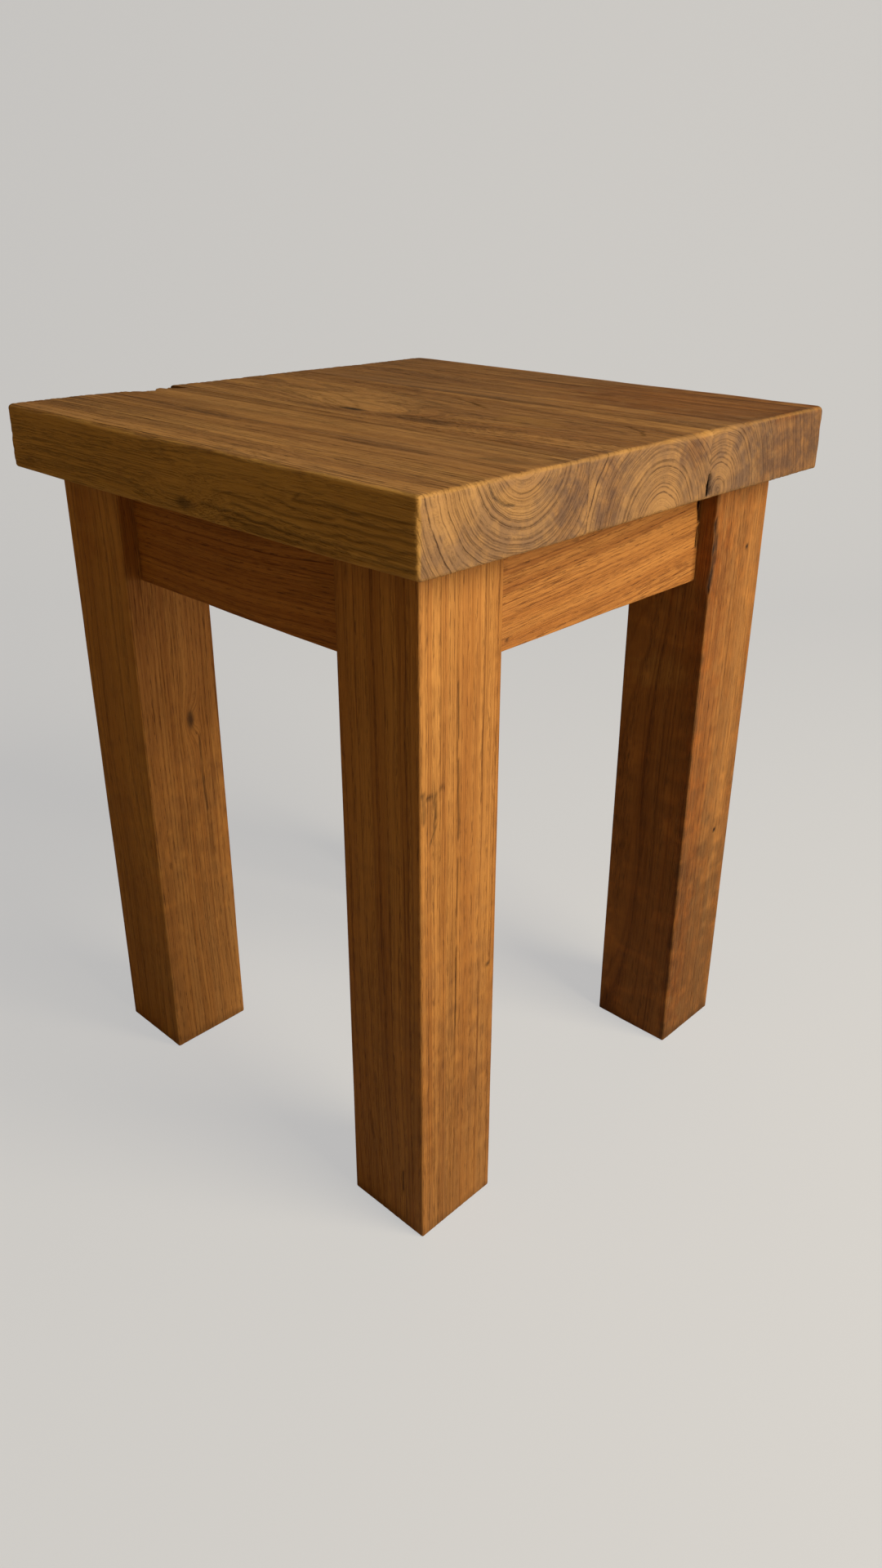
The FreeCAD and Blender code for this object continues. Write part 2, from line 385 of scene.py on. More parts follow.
@dataclass(frozen=True)
class Blank:
    """A rectangular piece as it comes off the bench: its corners, and how closely its surface is divided.

    body_low and body_high are the corners of the larger shape that the piece is part of, whose outside edges
    are eased. easing gives the radius at the bottom and at the top, and extra the axis and the place of fine
    lines along which the grid closes up.
    """

    low: Place
    high: Place
    steps: Place
    easing: tuple[float, float]
    body_low: Place | None = None
    body_high: Place | None = None
    extra: tuple[tuple[int, float], ...] = ()

    def lines(self, axis: int) -> np.ndarray:
        """Gives the places of the grid lines along one axis, closer together where the edges are eased.

        Args:
            axis: 0, 1 or 2, for X, Y or Z.

        Returns:
            The places in millimetres, rising.
        """
        low, high = self.low[axis], self.high[axis]
        count = max(2, round((high - low) / self.steps[axis]))
        radius = max(self.easing)
        close = [low + radius * share for share in EDGE_STEPS]
        close += [high - radius * share for share in EDGE_STEPS]
        inner = np.linspace(low + radius, high - radius, count)
        for place in (p for a, p in self.extra if a == axis):
            inner = inner[np.abs(inner - place) > LINE_GAP]
            close += [place + step for step in LINE_STEPS]
        return np.unique(np.round(np.concatenate([close, inner]), 4))

    def surface(self) -> tuple[np.ndarray, np.ndarray]:
        """Divides the six faces into a grid of quads that share their vertices.

        Returns:
            The points, shape (n, 3), and the quads, shape (m, 4), facing outwards.
        """
        lines = [self.lines(axis) for axis in range(3)]
        shape = tuple(len(line) for line in lines)
        skin = np.zeros(shape, bool)
        for axis in range(3):
            for end in (0, -1):
                skin[tuple(end if k == axis else slice(None) for k in range(3))] = True
        number = np.full(shape, -1, np.int64)
        number[skin] = np.arange(skin.sum())
        i, j, k = np.nonzero(skin)
        points = np.stack([lines[0][i], lines[1][j], lines[2][k]], axis=1)
        quads = []
        for axis in range(3):
            for end in (0, -1):
                face = number[tuple(end if n == axis else slice(None) for n in range(3))]
                a, b, c, d = face[:-1, :-1], face[1:, :-1], face[1:, 1:], face[:-1, 1:]
                order = (a, b, c, d) if (end == -1) != (axis == 1) else (a, d, c, b)
                quads.append(np.stack(order, axis=-1).reshape(-1, 4))
        return points, np.concatenate(quads)

    def eased(self, points: np.ndarray, radius: np.ndarray) -> tuple[np.ndarray, np.ndarray]:
        """Rounds the outside edges of the larger shape.

        Args:
            points: Places on the blank's surface, shape (n, 3).
            radius: The easing at each point.

        Returns:
            The moved points, and which way the surface faces at each of them.
        """
        low = np.array(self.body_low or self.low)
        high = np.array(self.body_high or self.high)
        inner = np.clip(points, low + radius[:, None], high - radius[:, None])
        offset = points - inner
        longest = np.abs(offset).max(axis=1)
        length = np.maximum(np.linalg.norm(offset, axis=1), 1e-9)
        moved = inner + offset * (longest / length)[:, None]
        facing = offset / length[:, None]
        facing[longest < radius - 1e-6] = 0
        return moved, facing


@dataclass(frozen=True)
class Board:
    """One piece of teak with everything that shapes and marks its surface.

    relief is how deep brushing has cut, in millimetres. edge_wear is how uneven the easing is, and edge_bare
    how
    far the eased edges are sanded. The arris share lightens the right end's edges along the top and the front:
    partly sanded wood, partly a painted highlight where those edges face the light. hue is redder above 0 and
    paler below, weather is how grey the piece is, and end_weather how much greyer its end grain.
    """

    name: str
    blank: Blank
    log: Log
    relief: float
    edge_wear: float
    splits: tuple[Split, ...] = ()
    patches: tuple[Patch, ...] = ()
    hue: float = 0.0
    weather: float = 0.0
    edge_bare: float = 0.25
    arris_wear_and_highlight: float = 0.0
    end_weather: float = 0.0

    def shaped(self) -> tuple[np.ndarray, np.ndarray, dict[str, np.ndarray]]:
        """Eases, wears, brushes and splits the blank.

        Returns:
            The points in millimetres, the quads, and the values that the finish reads at each point.
        """
        flat, quads = self.blank.surface()
        points, facing = self.blank.eased(flat, self.radius(flat))
        wood = self.log.places_in_wood(points)
        depth = self.relief * self.brushing(points, wood)
        stain_and_shade = np.zeros(len(points))
        bare = self.bareness(flat, facing)
        for number, split in enumerate(self.splits):
            away = split.closeness(points, SPLIT_SEEDS[0] + SPLIT_SEEDS[1] * number)
            near = ramp(away, split.blur, DARKEST * split.width)
            depth += split.depth * ramp(away, split.width, DEEPEST * split.width)
            stain_and_shade += split.dirt * near
            bare += split.bare * near
        hue = np.full(len(points), self.hue)
        end = np.abs(facing[:, self.log.grain.value[0]])
        weather = self.weathering(points) + self.end_weather * end
        for number, patch in enumerate(self.patches):
            share = patch.share(points, PATCH_SEEDS[0] + PATCH_SEEDS[1] * number)
            stain_and_shade += patch.stain_and_shade * share
            bare += patch.bare * share
            hue += patch.hue * share
            weather += patch.weather * share
        for knot in self.log.knots:
            away = self.log.knot_distance(points, knot) * knot.reach / knot.radius
            stain_and_shade += knot.dark * ramp(away, KNOT_EDGE, KNOT_CORE)
        values = {"bare": bare, "stain_and_shade": stain_and_shade, "hue": hue, "end": end, "weather": np.clip(weather, 0, 1)}
        values["steep"] = self.steepness(wood, facing)
        points = self.worn(points - facing * depth[:, None], flat)
        values["timber"] = wood
        return points, quads, values

    def chance(self, points: np.ndarray, kind: Chance) -> np.ndarray:
        """Gives one of the ways the piece is uneven, from -1 to 1 at each point."""
        count, hills = kind.value
        return smooth_noise(points, hills, self.log.seed + count)

    def steepness(self, wood: np.ndarray, facing: np.ndarray) -> np.ndarray:
        """Gives how squarely the rings cross the surface: 1 where they cut straight in, 0 where flat.

        Args:
            wood: Each point's place in the tree that the wood grew in, in millimetres.
            facing: Which way the surface faces at each point, or zeros where it is flat.

        Returns:
            One share for each point.
        """
        outward = wood[:, 1:] / np.maximum(np.linalg.norm(wood[:, 1:], axis=1), 1e-6)[:, None]
        flat = (facing[:, self.log.grain.value[1:]] * outward).sum(axis=1)
        return np.sqrt(np.clip(1 - flat * flat, 0, 1))

    def radius(self, points: np.ndarray) -> np.ndarray:
        """Gives the easing at each point, a little uneven from years of handling.

        Args:
            points: Places on the stool in millimetres, shape (n, 3).

        Returns:
            One radius in millimetres for each point.
        """
        low, high = self.blank.low[2], self.blank.high[2]
        bottom, top = self.blank.easing
        height = ramp(points[:, 2], low + 0.35 * (high - low), low + 0.65 * (high - low))
        base = bottom + (top - bottom) * height
        uneven = self.chance(points, Chance.EASING)
        return base * np.clip(1 + self.edge_wear * (uneven - 0.45), 0.35, 1.0)

    def brushing(self, points: np.ndarray, wood: np.ndarray) -> np.ndarray:
        """Gives the share of the relief that brushing has cut at each point, from 0 to 1.

        Args:
            points: Places on the stool in millimetres, shape (n, 3).
            wood: Each point's place in the tree that the wood grew in, in millimetres.

        Returns:
            One share for each point, up to 1.25 where marks meet.
        """
        groove = self.log.ring_groove(wood)
        fibre = self.chance(wood, Chance.FIBRES)
        broad = self.chance(wood, Chance.BROAD_BRUSHING)
        return np.clip(0.5 * groove + 0.3 * fibre + 0.25 * broad + 0.3, 0, 1.25)

    def bareness(self, flat: np.ndarray, facing: np.ndarray) -> np.ndarray:
        """Gives how far the old surface is sanded off at each point: most on the eased edges, with a painted
        highlight added on the right end's top and front edges.

        Args:
            flat: Places on the blank before it was eased, shape (n, 3).
            facing: Which way the surface faces at each point.

        Returns:
            One share for each point.
        """
        corner = 1 - np.abs(facing).max(axis=1)
        on_edge = ramp(corner, 0.0, 0.16) * (np.abs(facing).sum(axis=1) > 0)
        uneven = 0.8 + 0.35 * self.chance(flat, Chance.BARENESS)
        # The right end's top and front edges face the light: this lighter band is partly sanded wood and
        # partly a painted highlight.
        at_arris = ramp(facing[:, 0] * np.maximum(facing[:, 2], -facing[:, 1]), 0.2, 0.45)
        return (self.edge_bare * on_edge + self.arris_wear_and_highlight * at_arris) * uneven

    def weathering(self, points: np.ndarray) -> np.ndarray:
        """Gives how grey and dry the surface is at each point."""
        broad = self.chance(points, Chance.WEATHER)
        return np.clip(self.weather * (1 + 0.8 * broad), 0, 1)

    def worn(self, points: np.ndarray, flat: np.ndarray) -> np.ndarray:
        """Leaves the shape alone. Pieces with a worn place of their own change it here."""
        return points

    def build(self, material: Material) -> Piece:
        """Makes the piece's object, with its finish.

        Args:
            material: The finish it is given.

        Returns:
            The new object, at the origin, with its place in its mesh.
        """
        points, quads, values = self.shaped()
        mesh = bpy.data.meshes.new(self.name)
        mesh.from_pydata((points * MM).tolist(), [], quads.tolist())
        mesh.polygons.foreach_set("use_smooth", np.ones(len(quads), bool))
        wood = mesh.attributes.new("timber", "FLOAT_VECTOR", "POINT")
        wood.data.foreach_set("vector", values.pop("timber").astype(np.float32).ravel())
        for name, numbers in values.items():
            layer = mesh.attributes.new(name, "FLOAT", "POINT")
            layer.data.foreach_set("value", numbers.astype(np.float32))
        mesh.materials.append(material)
        mesh.update()
        piece = bpy.data.objects.new(self.name, mesh)
        bpy.context.scene.collection.objects.link(piece)
        LOG.info("%s: %d faces", self.name, len(quads))
        return piece


# ---- finishes -----------------------------------------------------------------------------------------


class WoodPlace(Enum):
    """Where a wood finish reads its place in the tree from."""

    GROWN = "the timber value on the mesh"
    SAWN = "the object's own coordinates"


@dataclass(frozen=True)
class Marks:
    """Thin dark marks along the grain.

    length and width are their usual size in millimetres. clear is the level of the noise below which there
    are none, full the level at which they are whole, and strength how dark they get.
    """

    length: float
    width: float
    clear: float
    full: float
    strength: float = 1.0


# Broad streaks that vary the rest: where furrows and fibres are many, where the wood is browner, where it has
# dried grey, and where the rings' dark lines are whole.
CROWDED = Marks(150.0, 12.0, 0.42, 0.62)
BROWNER = Marks(200.0, 22.0, 0.36, 0.64)
DRIED = Marks(120.0, 7.0, 0.32, 0.62)
WHOLE = Marks(170.0, 6.0, 0.3, 0.58)

# What end grain shows of each mark, as a share of what the sides show.
PORES_AT_END = 0.4
MARKS_AT_END = 0.1
FINE_AT_END = 1.6

WOOD_IOR = 1.45
FURROW_ROUGHNESS = 0.14

# How far the grain of a sawn piece is moved from the stool's middle, in millimetres.
SAWN_FROM = (0.0, 41.0, 23.0)


@dataclass(frozen=True)
class TeakFinish:
    """Solid wood. Its rings, furrows, dark fibres and open pores follow the timber, however it was sawn.

    light and middle are the clean wood, late the dark line that ends each ring, pore the dirt in open pores,
    bare a freshly sanded edge, grey dry weathered wood, deep the tint of redder wood, pale the lift of paler
    wood, cut_end the tan of end grain, and dirt what collects in splits and knots. Some patches also lay these
    colours as painted light and painted shade: pale and bare lighten the seat's shaded front face, pale also
    lightens the left leg's front face, bare paints a highlight on the right end's top and front edges, and
    dirt, grey and deep paint shade on single faces of the legs and low on every leg. ring and relief are in
    millimetres, and turn is the angle between the grain and X on sawn pieces, in radians.
    """

    name: str
    light: str
    middle: str
    late: str
    pore: str
    bare: str
    grey: str
    dirt: str
    ring: float
    ring_strength: float
    fine_strength: float
    furrows: Marks
    fibres: Marks
    pores: Marks
    relief: float
    roughness: float
    specular: float
    deep: str = "cfa880"
    pale: str = "86682e"
    cut_end: str = "a9834f"
    place: WoodPlace = WoodPlace.GROWN
    turn: float = 0.0

    def material(self) -> Material:
        """Builds the finish as a node material.

        Returns:
            The material, with colour, roughness and bump from the grain.
        """
        made = bpy.data.materials.new(self.name)
        made.use_nodes = True
        tree = made.node_tree
        tree.nodes.clear()
        node = partial(add_node, tree)
        wood = self.wood_place(tree)
        line, early, fine, band = self.rings(tree, wood)
        kinds = (self.furrows, self.fibres, self.pores)
        furrow, fibre, pore = (self.marks(tree, wood, kind) for kind in kinds)
        near_line = node(MATH, {0: early, 1: 0.7, 2: 0.3}, operation="MULTIPLY_ADD")
        pore = node(MATH, {0: pore, 1: near_line}, operation="MULTIPLY")
        if self.place is WoodPlace.GROWN:
            # End grain shows next to no furrows or fibres, fewer pores and more of the fine lines. Rings that
            # lie flat in the surface are fainter than rings that cut straight in.
            end = node(ATTRIBUTE, attribute_name="end").outputs["Fac"]
            pores_left, marks_left, fine_left = (
                node(MATH, {0: end, 1: share - 1.0, 2: 1.0}, operation="MULTIPLY_ADD")
                for share in (PORES_AT_END, MARKS_AT_END, FINE_AT_END)
            )
            crowded = self.streaks(tree, wood, CROWDED, 0.25)
            marks_left = node(MATH, {0: marks_left, 1: crowded}, operation="MULTIPLY")
            steep = node(ATTRIBUTE, attribute_name="steep").outputs["Fac"]
            line_left = node(MATH, {0: steep, 1: 0.5, 2: 0.5}, operation="MULTIPLY_ADD")
            layers = ((pore, pores_left), (furrow, marks_left), (fibre, marks_left), (fine, fine_left))
            layers += ((line, line_left),)
            pore, furrow, fibre, fine, line = (
                node(MATH, {0: mark, 1: left}, operation="MULTIPLY") for mark, left in layers
            )
        shade = self.colours(tree, wood, (line, fine, band, furrow, fibre, pore))
        height = self.height(tree, wood, line, furrow, fibre, pore)
        bump = node("ShaderNodeBump", {"Strength": 1.0, "Distance": self.relief * MM, "Height": height})
        rough = node(MATH, {0: furrow, 1: FURROW_ROUGHNESS, 2: self.roughness}, operation="MULTIPLY_ADD")
        surface = node("ShaderNodeBsdfPrincipled", {
            "Base Color": shade,
            "Roughness": rough,
            "IOR": WOOD_IOR,
            "Specular IOR Level": self.specular,
            "Normal": bump,
        })
        node("ShaderNodeOutputMaterial", {"Surface": surface})
        return made

    def wood_place(self, tree: Tree) -> Socket:
        """Returns where each point lies in the tree, in millimetres, with the grain along the first axis.

        Args:
            tree: The material's nodes.

        Returns:
            The socket that gives the place.
        """
        if self.place is WoodPlace.GROWN:
            return add_node(tree, ATTRIBUTE, attribute_name="timber").outputs["Vector"]
        turned = add_node(tree, "ShaderNodeMapping", {
            "Vector": add_node(tree, "ShaderNodeTexCoord").outputs["Object"],
            "Location": SAWN_FROM,
            "Rotation": (0.0, 0.0, self.turn),
            "Scale": (1 / MM, 1 / MM, 1 / MM),
        })
        return turned.outputs["Vector"]

    def patterned(
        self, tree: Tree, wood: Socket, along: float, across: float, detail: float = 2.0
    ) -> Node:
        """Adds a random pattern whose patches are so long along the grain and so wide across it.

        Args:
            tree: The material's nodes.
            wood: Each point's place in the tree that the wood grew in, in millimetres.
            along: How long the patches are, in millimetres.
            across: How wide they are, in millimetres.
            detail: How many times finer patches are added.

        Returns:
            The pattern.
        """
        scale = (1 / along, 1 / across, 1 / across)
        scaled = add_node(tree, VECTOR_MATH, {0: wood, 1: scale}, operation="MULTIPLY")
        return add_node(tree, NOISE, {
            "Vector": scaled,
            "Scale": 1.0,
            "Detail": detail,
            "Roughness": 0.55,
        })

    def yearly(self, tree: Tree, radius: Node, years: float, start: float, end: float) -> Node:
        """Adds a random pattern that changes only from ring to ring, from 0 at start to 1 at end.

        Args:
            tree: The material's nodes.
            radius: The distance from the heart.
            years: How many rings it takes to change.
            start: The level of the noise that gives 0.
            end: The level that gives 1.

        Returns:
            The pattern.
        """
        place = add_node(tree, MATH, {0: radius, 1: 1 / (years * self.ring)}, operation="MULTIPLY")
        pattern = add_node(tree, NOISE, {
            "W": place,
            "Scale": 1.0,
            "Detail": 2.0,
            "Roughness": 0.6,
        }, noise_dimensions="1D")
        span = {"Value": pattern, "From Min": start, "From Max": end}
        return add_node(tree, MAP_RANGE, span, interpolation_type="SMOOTHSTEP")

    def marks(self, tree: Tree, wood: Socket, kind: Marks) -> Node:
        """Adds one kind of mark: 1 inside each and 0 between them."""
        return add_node(tree, MAP_RANGE, {
            "Value": self.patterned(tree, wood, kind.length, kind.width),
            "From Min": kind.clear,
            "From Max": kind.full,
        }, interpolation_type="SMOOTHSTEP")

    def streaks(self, tree: Tree, wood: Socket, kind: Marks, least: float, detail: float = 2.0) -> Node:
        """Adds broad streaks: 1 inside them, and least between them."""
        return add_node(tree, MAP_RANGE, {
            "Value": self.patterned(tree, wood, kind.length, kind.width, detail),
            "From Min": kind.clear,
            "From Max": kind.full,
            "To Min": least,
        })

    def rings(self, tree: Tree, wood: Socket) -> tuple[Node, Node, Node, Node]:
        """Adds the growth rings.

        Args:
            tree: The material's nodes.
            wood: Each point's place in the tree that the wood grew in, in millimetres.

        Returns:
            Each ring's dark line, the open early wood beside it, the fine lines between, and the slow bands
            of good and bad years.
        """
        node = partial(add_node, tree)
        across = node(VECTOR_MATH, {0: wood, 1: (0.0, 1.0, 1.0)}, operation="MULTIPLY")
        radius = node(VECTOR_MATH, {0: across}, operation="LENGTH").outputs["Value"]
        jitter = self.patterned(tree, wood, 80.0, 13.0)
        radius = node(MATH, {0: jitter, 1: 0.6 * self.ring, 2: radius}, operation="MULTIPLY_ADD")
        count = node(MATH, {0: radius, 1: 1 / self.ring}, operation="MULTIPLY")
        phase = node(MATH, {0: count}, operation="FRACT")
        shares = ((0.2, 0.0), (0.93, 1.0), (0.6, 0.1))
        spans = ({"Value": phase, "From Min": start, "From Max": end} for start, end in shares)
        after, before, early = (node(MAP_RANGE, span, interpolation_type="SMOOTHSTEP") for span in spans)
        line = node(MATH, {0: after, 1: before}, operation="MAXIMUM")
        line = node(MATH, {0: line, 1: self.yearly(tree, radius, 1.2, 0.36, 0.6)}, operation="MULTIPLY")
        whole = node(MATH, {0: self.marks(tree, wood, WHOLE), 1: 0.65, 2: 0.35}, operation="MULTIPLY_ADD")
        line = node(MATH, {0: line, 1: whole}, operation="MULTIPLY")
        fine = self.yearly(tree, radius, 0.3, 0.5, 0.64)
        fine = node(MATH, {0: fine, 1: whole}, operation="MULTIPLY")
        return line, early, fine, self.yearly(tree, radius, 2.8, 0.36, 0.62)

    def colours(self, tree: Tree, wood: Socket, layers: tuple[Node, ...]) -> Socket:
        """Lays the colours over each other, from clean wood up to dirt and painted shade.

        Args:
            tree: The material's nodes.
            wood: Each point's place in the tree.
            layers: The dark lines, the fine lines, the bands, the furrows, the fibres and the pores.

        Returns:
            The finished colour.
        """
        node = partial(add_node, tree)
        line, fine, band, furrow, fibre, pore = layers
        band = node(MATH, {0: band, 1: 0.6}, operation="MULTIPLY")
        browner = self.streaks(tree, wood, BROWNER, 0.0)
        share = node(MATH, {0: browner, 1: 0.4, 2: band}, operation="MULTIPLY_ADD")
        cover = [(share, self.middle, 1.0, "MIX")]
        names = ("end", "weather", "hue", "bare", "stain_and_shade") if self.place is WoodPlace.GROWN else ()
        carried = {name: node(ATTRIBUTE, attribute_name=name).outputs["Fac"] for name in names}
        # The values carried on the mesh hold real stains, wear and weathering, and also painted light and
        # painted shade from some patches.
        if carried:
            dried = self.streaks(tree, wood, DRIED, 0.35, 3.0)
            dry = node(MATH, {0: dried, 1: carried["weather"]}, operation="MULTIPLY")
            cover.append((carried["end"], self.cut_end, 0.35, "MIX"))
            cover.append((dry, self.grey, 1.0, "MIX"))
        cover += [
            (fine, self.late, self.fine_strength, "MIX"),
            (line, self.late, self.ring_strength, "MIX"),
            (fibre, self.late, self.fibres.strength, "MIX"),
            (furrow, self.late, self.furrows.strength, "MIX"),
            (pore, self.pore, self.pores.strength, "MIX"),
        ]
        if carried:
            cover += [
                (carried["hue"], self.deep, 1.0, "MULTIPLY"),
                (carried["hue"], self.pale, -1.0, "SCREEN"),
                (carried["bare"], self.bare, 0.85, "MIX"),
                (carried["stain_and_shade"], self.dirt, 1.0, "MIX"),
            ]
        shade = colour(self.light)
        for share, over, strength, blend in cover:
            amount = node(MATH, {0: share, 1: strength}, operation="MULTIPLY", use_clamp=True)
            sides = {0: amount, 6: shade, 7: colour(over)}
            shade = node("ShaderNodeMix", sides, data_type="RGBA", blend_type=blend).outputs[2]
        return shade

    def height(
        self,
        tree: Tree,
        wood: Socket,
        line: Node,
        furrow: Node,
        fibre: Node,
        pore: Node,
    ) -> Node:
        """Adds the surface's height: low in the lines, furrows, fibres and pores, with fine hairs between.

        Args:
            tree: The material's nodes.
            wood: Each point's place in the tree that the wood grew in, in millimetres.
            line: The rings' dark lines.
            furrow: The furrows.
            fibre: The fibres.
            pore: The pores.

        Returns:
            The height, as a share of the relief.
        """
        hairs = self.patterned(tree, wood, 24.0, 0.5)
        level = add_node(tree, MATH, {0: hairs, 1: 0.4, 2: 1.0}, operation="MULTIPLY_ADD")
        for mark, depth in ((line, 0.5), (furrow, 1.0), (fibre, 0.5), (pore, 0.5)):
            level = add_node(tree, MATH, {0: mark, 1: -depth, 2: level}, operation="MULTIPLY_ADD")
        return level


@dataclass(frozen=True)
class SteelFinish:
    """Zinc-plated steel: a cool grey metal with a soft, slightly blotched shine."""

    name: str = "zinc_plated_steel"
    bright: str = "c3c5c9"
    dull: str = "8f9196"
    blotch: float = 1.5
    shiny: float = 0.28
    matt: float = 0.5

    def material(self) -> Material:
        """Builds the finish as a node material.

        Returns:
            The material, with blotches of dull zinc about as wide as blotch, in millimetres.
        """
        made = bpy.data.materials.new(self.name)
        made.use_nodes = True
        tree = made.node_tree
        tree.nodes.clear()
        place = add_node(tree, "ShaderNodeTexCoord")
        pattern = add_node(tree, NOISE, {
            "Vector": place.outputs["Object"],
            "Scale": 1 / (self.blotch * MM),
            "Detail": 3.0,
        })
        sides = {0: pattern, 6: colour(self.bright), 7: colour(self.dull)}
        shade = add_node(tree, "ShaderNodeMix", sides, data_type="RGBA").outputs[2]
        rough = add_node(tree, MAP_RANGE, {"Value": pattern, "To Min": self.shiny, "To Max": self.matt})
        surface = add_node(tree, "ShaderNodeBsdfPrincipled", {
            "Base Color": shade,
            "Metallic": 1.0,
            "Roughness": rough,
        })
        add_node(tree, "ShaderNodeOutputMaterial", {"Surface": surface})
        return made


# Seat: old teak, brushed along the grain so that the soft wood stands lower, then oiled thinly. It reads as
# dry brown wood with dark furrows, and almost no shine.
SEAT_TEAK = TeakFinish(
    name="brushed_reclaimed_teak",
    light="c28b47",
    middle="98652f",
    late="3c210c",
    pore="2c190a",
    bare="bd883c",
    grey="74563a",
    dirt="1f1207",
    ring=4.0,
    ring_strength=0.6,
    fine_strength=0.34,
    furrows=Marks(190.0, 0.9, 0.57, 0.63, 0.44),
    fibres=Marks(90.0, 0.5, 0.54, 0.64, 0.34),
    pores=Marks(9.0, 0.5, 0.55, 0.65, 0.5),
    relief=0.6,
    roughness=0.62,
    specular=0.26,
)

# Frame: teak planed smooth and oiled until it turned orange, with fine straight pores and a low satin shine.
FRAME_TEAK = TeakFinish(
    name="oiled_planed_teak",
    light="c4863e",
    middle="a96b2b",
    late="69360f",
    pore="4a2409",
    bare="cf9048",
    grey="a07440",
    dirt="2a1607",
    ring=3.2,
    ring_strength=0.6,
    fine_strength=0.34,
    furrows=Marks(300.0, 0.65, 0.55, 0.65, 0.42),
    fibres=Marks(160.0, 0.42, 0.52, 0.66, 0.34),
    pores=Marks(9.0, 0.4, 0.53, 0.62, 0.6),
    relief=0.16,
    roughness=0.55,
    specular=0.18,
)

# Corner blocks: teak straight from the saw, never oiled, so it is paler, matt and slightly furry.
SAWN_TEAK = TeakFinish(
    name="sawn_unoiled_teak",
    light="b58a5c",
    middle="9c7045",
    late="6c4728",
    pore="4c301a",
    bare="c49a68",
    grey="9a8468",
    dirt="2c1c10",
    ring=3.0,
    ring_strength=0.5,
    fine_strength=0.25,
    furrows=Marks(60.0, 1.2, 0.56, 0.66, 0.3),
    fibres=Marks(30.0, 0.7, 0.54, 0.66, 0.3),
    pores=Marks(8.0, 0.5, 0.55, 0.66, 0.35),
    relief=0.4,
    roughness=0.75,
    specular=0.2,
    place=WoodPlace.SAWN,
    turn=math.radians(45),
)

# Dowels: turned beech, pale and even, with short fine flecks.
TURNED_BEECH = TeakFinish(
    name="turned_beech",
    light="d9b382",
    middle="cda272",
    late="b98a5a",
    pore="8f6238",
    bare="dcbc90",
    grey="cdb08a",
    dirt="5a3c22",
    ring=1.6,
    ring_strength=0.35,
    fine_strength=0.2,
    furrows=Marks(20.0, 0.8, 0.58, 0.68, 0.2),
    fibres=Marks(12.0, 0.5, 0.54, 0.66, 0.25),
    pores=Marks(3.0, 0.4, 0.56, 0.66, 0.3),
    relief=0.1,
    roughness=0.6,
    specular=0.3,
    place=WoodPlace.SAWN,
    turn=math.radians(90),
)


# ---- the seat -----------------------------------------------------------------------------------------


@dataclass(frozen=True)
class WornBoard(Board):
    """A seat board whose top edge is worn away at the left end, between two places across the seat.

    worn_in is how far the edge is pushed in. worn_down and worn_along are how far down and along the board
    that fades out, and sunk is the share of it by which the top sinks.
    """

    worn_from: float = 0.0
    worn_to: float = 0.0
    worn_in: float = 0.0
    worn_down: float = 16.0
    worn_along: float = 22.0
    sunk: float = 0.16

    def worn(self, points: np.ndarray, flat: np.ndarray) -> np.ndarray:
        """Pushes the left end's top edge in, most beside the joint and less towards the front.

        Args:
            points: Places on the stool in millimetres, shape (n, 3).
            flat: The same places before the blank was eased.

        Returns:
            The moved points.
        """
        if not self.worn_in:
            return points
        share = ramp(flat[:, 1], self.worn_from, self.worn_to)
        ragged = 0.75 + 0.5 * smooth_noise(flat, (400, 6, 400), 5)
        ragged += 0.25 * smooth_noise(flat, (400, 2.2, 9), 6)
        top = ramp(flat[:, 2], self.blank.high[2] - self.worn_down, self.blank.high[2])
        left = ramp(flat[:, 0], self.blank.low[0] + self.worn_along, self.blank.low[0])
        push = self.worn_in * share * ragged * left
        out = points.copy()
        out[:, 0] += push * top
        out[:, 2] -= self.sunk * push * top
        return out


